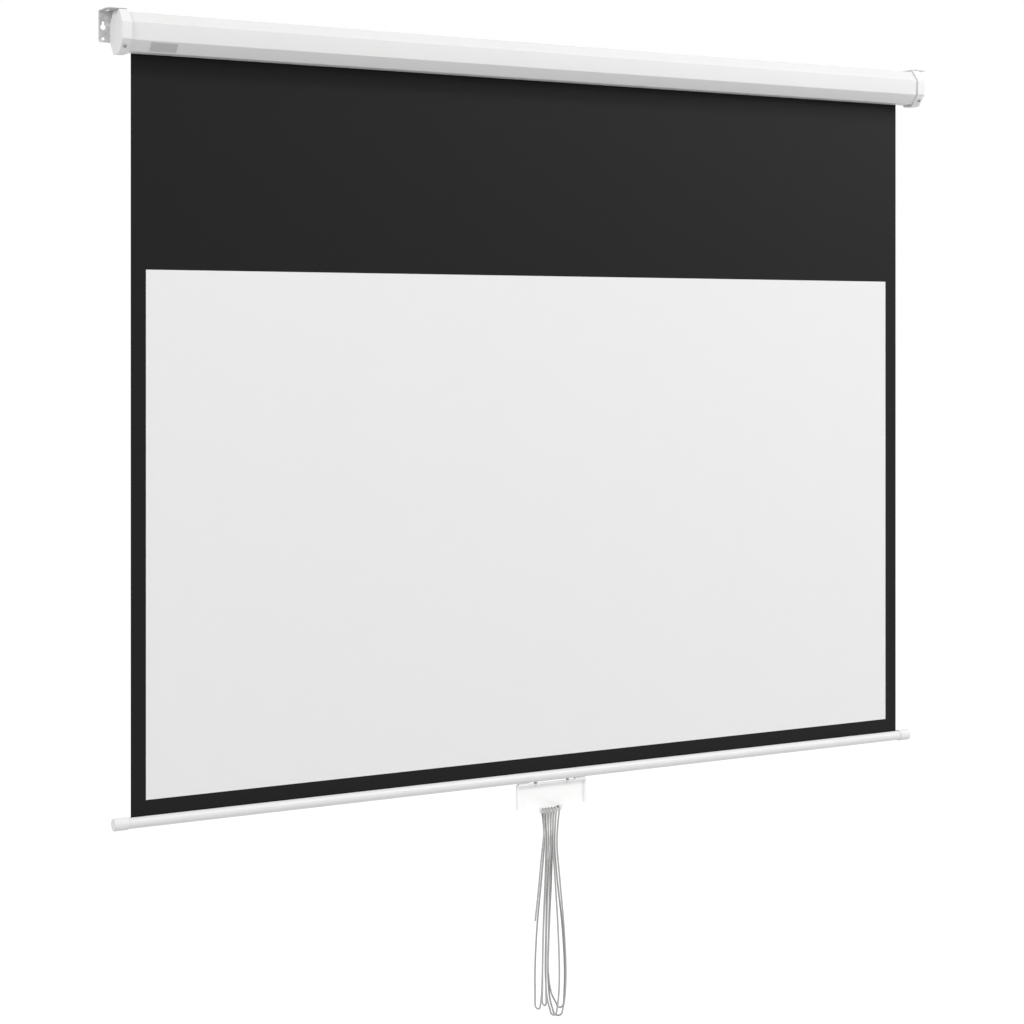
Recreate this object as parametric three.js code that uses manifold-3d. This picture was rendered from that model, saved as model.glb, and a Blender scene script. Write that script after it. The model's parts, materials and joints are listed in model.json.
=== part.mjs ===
// A manual projection screen for a wall or a ceiling, drawn fully down.
// Millimetres. +X runs to the viewer's right, the picture faces -Y, +Z is up.
// The origin is the middle of the line between the two wall screws: the wall plane is y = 0,
// the screws sit in the tops of the keyholes at z = 0, and x = 0 is the middle of the screen.
import * as THREE from 'three';
import { mergeVertices } from 'three/addons/utils/BufferGeometryUtils.js';
import Module from 'manifold-3d';

const wasm = await Module();
wasm.setup();

// Clearances
const seatGap = 0.3;
const coatingGap = 0.05;
const overrun = 2;

// Picture and cloth
const pictureWidth = 1860;
const pictureHeight = 1046;
const sideBorder = 31.5;
const bottomBorder = 31;
const blackDrop = 461.8;
const clothThickness = 0.35;
const coatingThickness = 0.15;
const wrapThickness = 0.7;

// Housing: the case and its end caps are eight-sided in section
const housingOverhang = 38.5;
const axisDrop = 21.5;
const caseHalfDepth = 32.7;
const caseHalfHeight = 38.5;
const caseFrontFlat = 34.4;
const caseBottomFlat = 30;
const caseWall = 1.2;
const clothSlotWidth = 14.5;
const capHalfDepth = 36.5;
const capHalfHeight = 43.2;
const capFrontFlat = 33.6;
const capBottomFlat = 31.6;
const capLength = 19.5;
const capPlate = 3;
const capBossRadius = 11;
const capBossLength = 9;

// Cap screws, pan headed
const capScrewFromEnd = 8.5;
const capScrewHeadRadius = 3.8;
const capScrewHeadHeight = 2.4;
const capScrewRadius = 1.75;
const capScrewLength = 10;

// Blank label plate
const labelLength = 55;
const labelWidth = 20;
const labelThickness = 0.5;
const labelFromCapEnd = 89.5;

// Wall and ceiling brackets, folded from sheet steel
const bracketSheet = 1.5;
const bracketReach = 22.5;
const bracketOverlap = 17;
const bracketHeight = 62.3;
const bracketDepth = 55;
const bracketCorner = 4.5;
const keyholeFromEdge = 9;
const keyholeNeckRadius = 2.6;
const keyholeRadius = 5.5;
const keyholeDrop = 9.3;
const lowerHoleRadius = 3.2;
const lowerHoleDrop = 32;
const ceilingSlotFromEdge = 13.5;
const ceilingSlotRadius = 3;
const ceilingSlotLength = 18;
const ceilingSlotFromWall = 17;

// Bracket screws, countersunk
const bracketScrewHeadRadius = 3.6;
const bracketScrewConeDepth = 1.2;
const bracketScrewRadius = 1.6;
const bracketScrewLength = 9.5;

// Roller and its two ends
const rollerRadius = 22;
const rollerWall = 1.2;
const rollerEndInset = 23;
const plugFlange = 3;
const plugBarrel = 22;
const plugBoreClearance = 0.3;
const spindleRadius = 4;
const spindleOverhang = 6.7;
const tongueWidth = 8;
const tongueThickness = 3;
const ratchetRadius = 13;
const ratchetThickness = 6;
const ratchetNotchDepth = 3;
const ratchetNotchWidth = 7.2;
const springOuterRadius = 12;
const springWire = 2.2;
const springLength = 520;
const anchorLength = 20;
const pinRadius = 1.5;
const pinLength = 8;
const pawlArm = 10;
const pawlHalfWidth = 2.4;
const pawlThickness = 5;
const pawlPinAcross = 5;
const pawlPinOut = 17.4;
const pawlNoseDrop = 3.6;
const pawlNoseWidth = 3;
const idlePinRadius = 4;
const idleBushWall = 2;

// Weight bar
const barRadius = 11.25;
const barWall = 1.2;
const barSlotWidth = 3;
const barCapRadius = 12.75;
const barCapLength = 30;
const barCapEnd = 3;
const barCapRound = 2.6;
const barOverhang = 36.5;
const hemRodRadius = 2.5;
const hemThickness = 0.8;

// Pull handle, an open-fronted tray hung under the bar
const handleWidth = 174.4;
const handleHeight = 53.3;
const handleSheet = 1.5;
const handleDepth = 8.25;
const handleGap = 3.5;
const handleSetBack = 2.5;
const saddleWidth = 25;
const saddleInset = 3;
const tabDrop = 13.7;
const tabShoulder = 31;
const tabHalfWidth = 27;
const cordSlotHalfWidth = 25;
const cordSlotHeight = 5;
const cordStripHeight = 8;
const handleScrewSpacing = 81;
const handleScrewRadius = 1.9;
const handleScrewHeadRadius = 3.2;
const handleScrewHeadHeight = 1.4;
const handleScrewLength = 12;
const spacerRadius = 3.4;

// Pull cord, folded into a hank that hangs from the handle's strip
const cordDiameter = 3.8;
const cordBend = 7.6;
const cordSides = 6;
const hankPitch = 7.8;
const hankFirst = 17.5;
const knotRadius = 4.6;
const knotOffset = 4.5;
const tailSteps = 24;
const tailSides = 8;
// A strand is drawn in at the waist and widest at the belly, each at a share of the loop's fall
const waistShare = 0.16;
const waistDrawShare = 0.33;
const bellyShare = 0.86;
const strandShares = [0, 0.05, 0.16, 0.34, 0.6, 0.82, 0.94];
const bottomSteps = 6;
const topSteps = 4;
// Each loop, from the right: its front and back strands at the belly, its tip and half the tip's
// width, how far the strands lie before and behind the strip, the drop, and the bow of the sides
const hankLoops = [
  { front: 34.6, back: -2, tip: 18, half: 7.5, depth: 7.6, drop: 449, frontBow: 1.25, backBow: 1.5 },
  { front: 34, back: -4.4, tip: 24, half: 7.2, depth: 2.6, drop: 432, frontBow: 1.5, backBow: 1.6 },
  { front: 17.8, back: -8.5, tip: 7, half: 3.5, depth: 7.6, drop: 446.5, frontBow: 1.15, backBow: 1.15 },
  { front: -16.5, back: -16, tip: -16.4, half: 0.6, depth: 7.6, drop: 422, frontBow: 0.8, backBow: 1.5 },
  { front: -25.2, back: -35.2, tip: -32.7, half: 2, depth: 7.6, drop: 427, frontBow: 1, backBow: 1.4 },
];
// The free tail, across and down from its top
const tailPoints = [
  [-21.5, 0], [-21, 8], [-20.6, 16], [-21.5, 41], [-26, 78],
  [-30.2, 115], [-33.8, 151], [-39.8, 200], [-43.4, 229],
];

// Roundness of the turned pieces: half the number of sides
const coarseRound = 8;
const mediumRound = 12;
const fineRound = 16;

// Places worked out from the sizes
const axisZ = -axisDrop;
const axisY = -(bracketSheet + seatGap + capHalfDepth);
const clothWidth = pictureWidth + 2 * sideBorder;
const capEndX = clothWidth / 2 + housingOverhang;
const barEndX = clothWidth / 2 + barOverhang;
const capRimX = capEndX - capLength;
const capFloorX = capEndX - capPlate;
const bossFaceX = capFloorX - capBossLength;
const caseEndX = capFloorX - seatGap;
const capScrewX = capEndX - capScrewFromEnd;
const wrapInner = rollerRadius + seatGap;
const wrapOuter = wrapInner + wrapThickness;
const clothFrontY = axisY + wrapOuter + seatGap;
const clothY = clothFrontY + clothThickness / 2;
const pictureTopZ = axisZ - blackDrop;
const pictureBottomZ = pictureTopZ - pictureHeight;
const barTopZ = pictureBottomZ - bottomBorder;
const barZ = barTopZ - barRadius;
const barBottomZ = barZ - barRadius;
const rollerEndX = capEndX - rollerEndInset;
const handleTopZ = barBottomZ - handleGap;
const handleBottomZ = handleTopZ - handleHeight;
const tabBottomZ = handleBottomZ - tabDrop;
const handleY = clothY + handleSetBack;
const handleBackY = handleY + handleSheet / 2;
const handleFrontY = handleBackY - handleDepth;
const handleScrewY = (handleFrontY + handleBackY - handleSheet) / 2;
const stripTopZ = tabBottomZ + cordStripHeight;
const cordRadius = cordDiameter / 2;
const bendZ = stripTopZ + seatGap + cordRadius - cordBend;

// Materials
const paintedSteel = { color: 0xe9e9e7, roughness: 0.42, metalness: 0 };
const whitePlastic = { color: 0xe4e4e2, roughness: 0.5, metalness: 0 };
const zincSteel = { color: 0xa9abac, roughness: 0.38, metalness: 0.9 };
const darkSteel = { color: 0x63656a, roughness: 0.4, metalness: 0.85 };
const rollerAluminium = { color: 0xb9bcc0, roughness: 0.35, metalness: 0.9 };
const greyPlastic = { color: 0x8f9194, roughness: 0.55, metalness: 0 };
const blackCloth = { color: 0x242424, roughness: 0.9, metalness: 0 };
const whiteCoating = { color: 0xe8e8e8, roughness: 0.8, metalness: 0 };
const greyLabel = { color: 0xbdbdbd, roughness: 0.35, metalness: 0 };
const greyCord = { color: 0xb6b6b2, roughness: 0.85, metalness: 0 };

const screen = new THREE.Group();
const solids = new Map();

function addNode(name, geometry, look) {
  const mesh = new THREE.Mesh(geometry, new THREE.MeshStandardMaterial(look));
  mesh.name = name;
  solids.set(name, mesh);
  screen.add(mesh);
}

// Solids from three.js geometries, for the pieces that are cut or joined
function toSolid(geometry) {
  const bare = geometry.clone();
  bare.deleteAttribute('normal');
  bare.deleteAttribute('uv');
  const merged = mergeVertices(bare);
  const vertProperties = new Float32Array(merged.attributes.position.array);
  const triVerts = new Uint32Array(merged.index.array);
  return new wasm.Manifold(new wasm.Mesh({ numProp: 3, vertProperties, triVerts }));
}

function toGeometry(solid) {
  const mesh = solid.getMesh();
  const geometry = new THREE.BufferGeometry();
  geometry.setAttribute('position', new THREE.BufferAttribute(mesh.vertProperties, mesh.numProp));
  geometry.setIndex(new THREE.BufferAttribute(mesh.triVerts, 1));
  geometry.computeVertexNormals();
  return geometry;
}

function cut(body, ...tools) {
  return toGeometry(tools.reduce((solid, tool) => solid.subtract(toSolid(tool)), toSolid(body)));
}

function join(...pieces) {
  const [first, ...others] = pieces.map(toSolid);
  return toGeometry(others.reduce((solid, piece) => solid.add(piece), first));
}

// A closed outline from a list of points
function outline(points) {
  return new THREE.Shape(points.map(([u, v]) => new THREE.Vector2(u, v)));
}

function circle(radius, u = 0, v = 0) {
  const path = new THREE.Shape();
  path.absarc(u, v, radius, 0, 2 * Math.PI, false);
  return path;
}

function drawnOut(shape, depth, round) {
  return new THREE.ExtrudeGeometry(shape, { depth, bevelEnabled: false, curveSegments: round });
}

// An outline in (y, z) drawn out along +X from x0 to x1
function alongX(shape, x0, x1, round = coarseRound) {
  const geometry = drawnOut(shape, x1 - x0, round);
  const basis = new THREE.Matrix4().makeBasis(
    new THREE.Vector3(0, 1, 0),
    new THREE.Vector3(0, 0, 1),
    new THREE.Vector3(1, 0, 0),
  );
  return geometry.applyMatrix4(basis).translate(x0, 0, 0);
}

// An outline in (x, z) drawn out from the plane y = back towards the viewer
function towardsViewer(shape, back, depth, round = coarseRound) {
  return drawnOut(shape, depth, round).rotateX(Math.PI / 2).translate(0, back, 0);
}

// An outline in (x, y) drawn out upwards from z = low
function upwards(shape, low, depth, round = coarseRound) {
  return drawnOut(shape, depth, round).translate(0, 0, low);
}

function box(x0, x1, y0, y1, z0, z1) {
  const geometry = new THREE.BoxGeometry(x1 - x0, y1 - y0, z1 - z0);
  return geometry.translate((x0 + x1) / 2, (y0 + y1) / 2, (z0 + z1) / 2);
}

// A ring or disc about the line along X through (y, z)
function turned(x0, x1, outer, inner = 0, y = axisY, z = axisZ, round = mediumRound) {
  const shape = circle(outer, y, z);
  if (inner > 0) {
    shape.holes.push(circle(inner, y, z));
  }
  return alongX(shape, Math.min(x0, x1), Math.max(x0, x1), round);
}

// The eight corners of a housing section, anticlockwise in (y, z) from the front flat's top
function octagon(halfDepth, halfHeight, frontFlat, bottomFlat) {
  const f = frontFlat / 2;
  const g = bottomFlat / 2;
  const corners = [
    [-halfDepth, f], [-halfDepth, -f], [-g, -halfHeight], [g, -halfHeight],
    [halfDepth, -f], [halfDepth, f], [g, halfHeight], [-g, halfHeight],
  ];
  return corners.map(([y, z]) => [y + axisY, z + axisZ]);
}

// The same outline moved in by a wall, or out by a negative one
function inset(points, wall) {
  return points.map((point, i) => {
    const before = points[(i + points.length - 1) % points.length];
    const after = points[(i + 1) % points.length];
    const a = new THREE.Vector2(point[0] - before[0], point[1] - before[1]).normalize();
    const b = new THREE.Vector2(after[0] - point[0], after[1] - point[1]).normalize();
    const normalA = new THREE.Vector2(-a.y, a.x);
    const normalB = new THREE.Vector2(-b.y, b.x);
    const middle = normalA.clone().add(normalB);
    const reach = wall * 2 / middle.lengthSq();
    return [point[0] + middle.x * reach, point[1] + middle.y * reach];
  });
}

// The lower front slope of the housing: its outward direction and the middle of the cap's slope
function slope(halfDepth, halfHeight, frontFlat, bottomFlat) {
  const [top, bottom] = octagon(halfDepth, halfHeight, frontFlat, bottomFlat).slice(1, 3);
  const along = new THREE.Vector2(bottom[0] - top[0], bottom[1] - top[1]).normalize();
  return {
    middle: [(top[0] + bottom[0]) / 2, (top[1] + bottom[1]) / 2],
    along,
    outward: new THREE.Vector3(0, along.y, -along.x),
  };
}

const caseSection = octagon(caseHalfDepth, caseHalfHeight, caseFrontFlat, caseBottomFlat);
const capSection = octagon(capHalfDepth, capHalfHeight, capFrontFlat, capBottomFlat);
const capSlope = slope(capHalfDepth, capHalfHeight, capFrontFlat, capBottomFlat);
const caseSlope = slope(caseHalfDepth, caseHalfHeight, caseFrontFlat, caseBottomFlat);

// A piece turned about its own axis, its foot at a point and its top towards a direction
function lathe(profile, round, at, direction) {
  const points = profile.map(([radius, height]) => new THREE.Vector2(radius, height));
  const geometry = new THREE.LatheGeometry(points, 2 * round);
  const turn = new THREE.Quaternion().setFromUnitVectors(new THREE.Vector3(0, 1, 0), direction);
  return geometry.applyQuaternion(turn).translate(...at);
}

// Screws, drawn from the tip of the shank to the top of the head. The head's seat is at height zero
function panScrew(headRadius, headHeight, shankRadius, length, at, direction) {
  const shoulder = headHeight / 2;
  const crownRadius = headRadius * 2 / 3;
  const profile = [
    [0, -length], [shankRadius, -length + shankRadius], [shankRadius, 0], [headRadius, 0],
    [headRadius, shoulder], [crownRadius, headHeight], [0, headHeight],
  ];
  return lathe(profile, coarseRound, at, direction);
}

function countersunkScrew(at, direction) {
  const profile = [
    [0, -bracketScrewLength], [bracketScrewRadius, -bracketScrewLength + bracketScrewRadius],
    [bracketScrewRadius, -bracketScrewConeDepth], [bracketScrewHeadRadius, 0], [0, 0],
  ];
  return lathe(profile, coarseRound, at, direction);
}

// A round hole wider than a screw by the seat gap, with a cone for a countersunk head
function screwHole(radius, from, to, at, direction) {
  const wide = radius + seatGap;
  return lathe([[0, from], [wide, from], [wide, to], [0, to]], coarseRound, at, direction);
}

function sinkHole(at, direction) {
  const wide = bracketScrewHeadRadius + seatGap;
  const narrow = bracketScrewRadius + seatGap;
  const profile = [
    [0, -bracketScrewLength], [narrow, -bracketScrewLength], [narrow, -bracketScrewConeDepth],
    [wide, 0], [wide, overrun], [0, overrun],
  ];
  return lathe(profile, coarseRound, at, direction);
}

// Where each screw enters, on the side given by -1 for left or 1 for right
const topScrewZ = axisZ + capHalfHeight + seatGap + bracketSheet;
const up = new THREE.Vector3(0, 0, 1);
const down = new THREE.Vector3(0, 0, -1);
const toWall = new THREE.Vector3(0, 1, 0);
const capScrewSeat = (side) => {
  const [y, z] = capSlope.middle;
  return [side * capScrewX, y + capSlope.outward.y * seatGap, z + capSlope.outward.z * seatGap];
};
const topScrewSeat = (side) => [side * capScrewX, axisY, topScrewZ];
const backScrewSeat = (side) => [side * capScrewX, 0, axisZ];

function screwTools(side) {
  const through = capScrewLength + seatGap;
  return [
    screwHole(capScrewRadius, -through, overrun, capScrewSeat(side), capSlope.outward),
    sinkHole(topScrewSeat(side), up),
    sinkHole(backScrewSeat(side), toWall),
  ];
}

function addCase() {
  const shell = outline(caseSection);
  shell.holes.push(new THREE.Path(outline(inset(caseSection, caseWall)).getPoints()));
  const slotFrontY = axisY + caseBottomFlat / 2;
  const slotBackY = slotFrontY + clothSlotWidth;
  const slotTopZ = axisZ - caseFrontFlat / 2;
  const slot = box(-capEndX, capEndX, slotFrontY, slotBackY, axisZ - capHalfHeight, slotTopZ);
  const tube = alongX(shell, -caseEndX, caseEndX);
  addNode('case_shell', cut(tube, slot, ...screwTools(-1), ...screwTools(1)), paintedSteel);
}

// An end cap: plate, rim around the case's end and a boss that carries the roller's end
function addEndCap(name, side, bossTool) {
  const body = alongX(outline(capSection), ...span(side, capRimX, capEndX));
  const hollow = alongX(outline(inset(caseSection, -seatGap)), ...span(side, capRimX - overrun, capFloorX));
  const boss = turned(side * bossFaceX, side * (capFloorX + capPlate / 2), capBossRadius);
  const shell = toSolid(body).subtract(toSolid(hollow)).add(toSolid(boss)).subtract(toSolid(bossTool));
  addNode(name, cut(toGeometry(shell), ...screwTools(side)), whitePlastic);
}

function span(side, from, to) {
  return side > 0 ? [from, to] : [-to, -from];
}

function addEndCaps() {
  const halfTongue = tongueThickness / 2 + seatGap;
  const halfWidth = tongueWidth / 2 + seatGap;
  const slot = box(
    -capFloorX, -bossFaceX + overrun,
    axisY - halfTongue, axisY + halfTongue, axisZ - halfWidth, axisZ + halfWidth,
  );
  addEndCap('end_cap_left', -1, slot);
  const bushRadius = idlePinRadius + 2 * seatGap + idleBushWall;
  addEndCap('end_cap_right', 1, turned(bossFaceX - overrun, capFloorX, bushRadius));
}

function addCapScrews() {
  for (const [name, side] of [['left', -1], ['right', 1]]) {
    const size = [capScrewHeadRadius, capScrewHeadHeight, capScrewRadius, capScrewLength];
    addNode(`cap_screw_${name}`, panScrew(...size, capScrewSeat(side), capSlope.outward), darkSteel);
    addNode(`bracket_top_screw_${name}`, countersunkScrew(topScrewSeat(side), up), zincSteel);
    addNode(`bracket_back_screw_${name}`, countersunkScrew(backScrewSeat(side), toWall), zincSteel);
  }
}

// The keyhole: a neck that the wall screw rests in, above a round entry for its head
function keyhole(x) {
  const path = new THREE.Path();
  const lift = Math.sqrt(keyholeRadius ** 2 - keyholeNeckRadius ** 2);
  const reach = Math.atan2(lift, keyholeNeckRadius);
  path.absarc(x, 0, keyholeNeckRadius, 0, Math.PI, false);
  path.absarc(x, -keyholeDrop, keyholeRadius, Math.PI - reach, 2 * Math.PI + reach, false);
  path.closePath();
  return path;
}

function slotPath(x, y, radius, length) {
  const path = new THREE.Path();
  const straight = length / 2 - radius;
  path.absarc(x, y + straight, radius, 0, Math.PI, false);
  path.absarc(x, y - straight, radius, Math.PI, 2 * Math.PI, false);
  path.closePath();
  return path;
}

// A rectangle whose lower outer corner is rounded
function flange(inner, outer, low, high) {
  const shape = new THREE.Shape();
  const corner = outer + Math.sign(inner - outer) * bracketCorner;
  shape.moveTo(inner, high);
  shape.lineTo(inner, low);
  shape.lineTo(corner, low);
  shape.quadraticCurveTo(outer, low, outer, low + bracketCorner);
  shape.lineTo(outer, high);
  shape.closePath();
  return shape;
}

function addBracket(name, side) {
  const outer = side * (capEndX + bracketReach);
  const inner = side * (capEndX - bracketOverlap);
  const holeX = outer - side * keyholeFromEdge;
  const topZ = topScrewZ;
  const wall = flange(inner, outer, topZ - bracketHeight, topZ);
  wall.holes.push(keyhole(holeX), slotPath(holeX, -lowerHoleDrop, lowerHoleRadius, 2 * lowerHoleRadius));
  const ceiling = flange(inner, outer, -bracketDepth, 0);
  const slotX = outer - side * ceilingSlotFromEdge;
  ceiling.holes.push(slotPath(slotX, -ceilingSlotFromWall, ceilingSlotRadius, ceilingSlotLength));
  const wallPlate = towardsViewer(wall, 0, bracketSheet);
  const ceilingPlate = upwards(ceiling, topZ - bracketSheet, bracketSheet);
  const tools = [sinkHole(topScrewSeat(side), up), sinkHole(backScrewSeat(side), toWall)];
  addNode(name, cut(join(wallPlate, ceilingPlate), ...tools), zincSteel);
}

function addLabel() {
  const rise = seatGap + labelThickness / 2;
  const [y, z] = caseSlope.middle;
  const plate = new THREE.BoxGeometry(labelLength, labelThickness, labelWidth);
  const turn = new THREE.Quaternion().setFromUnitVectors(toWall, caseSlope.outward);
  plate.applyQuaternion(turn);
  plate.translate(-capEndX + labelFromCapEnd, y + caseSlope.outward.y * rise, z + caseSlope.outward.z * rise);
  addNode('label_plate', plate, greyLabel);
}

// Roller: a tube on a fixed spindle at the left, with the spring inside, and on a pin at the right
const tubeInner = rollerRadius - rollerWall;
const barrelRadius = tubeInner - seatGap;
const spindleBore = spindleRadius + plugBoreClearance;
const plugFaceX = rollerEndX + seatGap + plugFlange;
const ratchetEndX = bossFaceX - seatGap;
const springStartX = rollerEndX - plugBarrel - seatGap;
const springEndX = springStartX - springLength;
const anchorStartX = springEndX - seatGap;
const anchorEndX = anchorStartX - anchorLength;
const idlePinStartX = rollerEndX - plugBarrel;

function plug(side, bore) {
  const flangeRing = turned(side * (plugFaceX - plugFlange), side * plugFaceX, rollerRadius, bore);
  const barrel = turned(side * (rollerEndX - plugBarrel), side * plugFaceX, barrelRadius, bore);
  return join(flangeRing, barrel);
}

// The middle of a pawl's pin, for the pawl at the top and the one turned half round
function pawlPin(half) {
  return [axisY + half * pawlPinAcross, axisZ + half * pawlPinOut];
}

function addRoller() {
  const tube = turned(-rollerEndX, rollerEndX, rollerRadius, tubeInner, axisY, axisZ, fineRound);
  addNode('roller_tube', tube, rollerAluminium);
  const half = clothWidth / 2;
  addNode('cloth_wrap', turned(-half, half, wrapOuter, wrapInner, axisY, axisZ, fineRound), blackCloth);
  const pinHoles = [1, -1].map((turn) => {
    const [y, z] = pawlPin(turn);
    return turned(-plugFaceX - overrun, -plugFaceX + plugFlange, pinRadius + seatGap, 0, y, z, coarseRound);
  });
  addNode('spring_end_plug', cut(plug(-1, spindleBore), ...pinHoles), greyPlastic);
  addNode('idle_end_plug', plug(1, idlePinRadius + seatGap), greyPlastic);
  addNode('spring_anchor', turned(-anchorStartX, -anchorEndX, barrelRadius, spindleBore), greyPlastic);
  const springInner = springOuterRadius - springWire;
  addNode('torsion_spring', turned(-springStartX, -springEndX, springOuterRadius, springInner), darkSteel);
  addNode('idle_pin', turned(idlePinStartX, capFloorX - 2 * seatGap, idlePinRadius), zincSteel);
}

function addSpindle() {
  const rod = turned(-ratchetEndX, -anchorEndX + spindleOverhang, spindleRadius);
  const tongue = box(
    -capFloorX + seatGap, -ratchetEndX + overrun,
    axisY - tongueThickness / 2, axisY + tongueThickness / 2,
    axisZ - tongueWidth / 2, axisZ + tongueWidth / 2,
  );
  addNode('spring_spindle', join(rod, tongue), zincSteel);
}

// The ratchet wheel is fixed on the spindle and has two notches, half a turn apart
function addRatchet() {
  const wheel = turned(-ratchetEndX, -ratchetEndX + ratchetThickness, ratchetRadius, spindleBore);
  const notches = [1, -1].map((half) => {
    const nose = half * (pawlPinAcross - pawlArm);
    const y = axisY + nose;
    const near = axisZ + half * (ratchetRadius - ratchetNotchDepth);
    const far = axisZ + half * (ratchetRadius + overrun);
    const wide = ratchetNotchWidth / 2;
    const low = Math.min(near, far);
    const high = Math.max(near, far);
    return box(-capEndX, -ratchetEndX + ratchetThickness + overrun, y - wide, y + wide, low, high);
  });
  addNode('ratchet_wheel', cut(wheel, ...notches), darkSteel);
}

// A pawl: a short lever whose nose drops into a notch and is pushed against its wall
function addPawl(name, half) {
  const [y, z] = pawlPin(half);
  const nose = -pawlArm;
  const points = [
    [pawlHalfWidth, -pawlHalfWidth], [pawlHalfWidth, pawlHalfWidth], [nose, pawlHalfWidth / 2],
    [nose - pawlNoseWidth / 2, -pawlNoseDrop], [nose + pawlNoseWidth / 2, -pawlNoseDrop],
    [nose + pawlNoseWidth, -pawlHalfWidth / 2],
  ];
  const shape = outline(points.map(([u, v]) => [y + half * u, z + half * v]));
  shape.holes.push(circle(pinRadius + seatGap, y, z));
  const near = -plugFaceX - seatGap;
  addNode(`pawl_${name}`, alongX(shape, near - pawlThickness, near), darkSteel);
  const pinFoot = -plugFaceX + plugFlange / 2;
  const pin = turned(pinFoot - pinLength, pinFoot, pinRadius, 0, y, z, coarseRound);
  addNode(`pawl_pin_${name}`, pin, zincSteel);
}

function addIdleBush() {
  const inner = idlePinRadius + seatGap;
  addNode('idle_bush', turned(bossFaceX, capFloorX - seatGap, inner + idleBushWall, inner), greyPlastic);
}

// Cloth: the black sheet, the white picture area coated on its front, and the hem in the bar
function addCloth() {
  const half = clothWidth / 2;
  const backY = clothFrontY + clothThickness;
  addNode('screen_cloth', box(-half, half, clothFrontY, backY, pictureBottomZ, axisZ), blackCloth);
  const coatY = clothFrontY - coatingGap;
  const wide = pictureWidth / 2;
  const coating = box(-wide, wide, coatY - coatingThickness, coatY, pictureBottomZ, pictureTopZ);
  addNode('picture_surface', coating, whiteCoating);
}

// The hem runs down through the bar's slot and round the rod that holds it there
function addHem() {
  const outer = hemRodRadius + seatGap + hemThickness;
  const centreZ = barTopZ - barWall - seatGap - outer;
  const half = clothThickness / 2;
  const neck = Math.asin(half / outer);
  const shape = new THREE.Shape();
  shape.moveTo(clothY - half, pictureBottomZ - seatGap);
  shape.lineTo(clothY - half, centreZ + outer * Math.cos(neck));
  shape.absarc(clothY, centreZ, outer, Math.PI / 2 + neck, 5 * Math.PI / 2 - neck, false);
  shape.lineTo(clothY + half, pictureBottomZ - seatGap);
  shape.closePath();
  shape.holes.push(circle(hemRodRadius + seatGap, clothY, centreZ));
  addNode('hem_border', alongX(shape, -clothWidth / 2, clothWidth / 2), blackCloth);
  const rod = turned(-clothWidth / 2, clothWidth / 2, hemRodRadius, 0, clothY, centreZ, coarseRound);
  addNode('hem_rod', rod, zincSteel);
}

// Weight bar: a tube slotted along its top, with a cap on each end
function addBar() {
  const inner = barRadius - barWall;
  const outerGap = Math.asin(barSlotWidth / 2 / barRadius);
  const innerGap = Math.asin(barSlotWidth / 2 / inner);
  const shape = new THREE.Shape();
  shape.absarc(clothY, barZ, barRadius, Math.PI / 2 + outerGap, 5 * Math.PI / 2 - outerGap, false);
  shape.absarc(clothY, barZ, inner, 5 * Math.PI / 2 - innerGap, Math.PI / 2 + innerGap, true);
  shape.closePath();
  const end = barEndX - barCapEnd - seatGap;
  const holes = [-1, 1].map((side) => {
    const at = [side * handleScrewSpacing / 2, handleScrewY, barBottomZ];
    return screwHole(handleScrewRadius, -overrun, barWall + overrun, at, up);
  });
  addNode('weight_bar', cut(alongX(shape, -end, end, mediumRound), ...holes), paintedSteel);
}

function addBarCap(name, side) {
  const bore = barRadius + seatGap;
  const floor = barCapLength - barCapEnd;
  const edge = barCapRound * (1 - Math.SQRT1_2);
  const profile = [
    [0, floor], [bore, floor], [bore, 0], [barCapRadius, 0], [barCapRadius, barCapLength - barCapRound],
    [barCapRadius - edge, barCapLength - edge], [barCapRadius - barCapRound, barCapLength],
    [0, barCapLength],
  ];
  const open = side * (barEndX - barCapLength);
  const cap = lathe(profile, mediumRound, [open, clothY, barZ], new THREE.Vector3(side, 0, 0));
  addNode(name, cap, whitePlastic);
}

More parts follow.
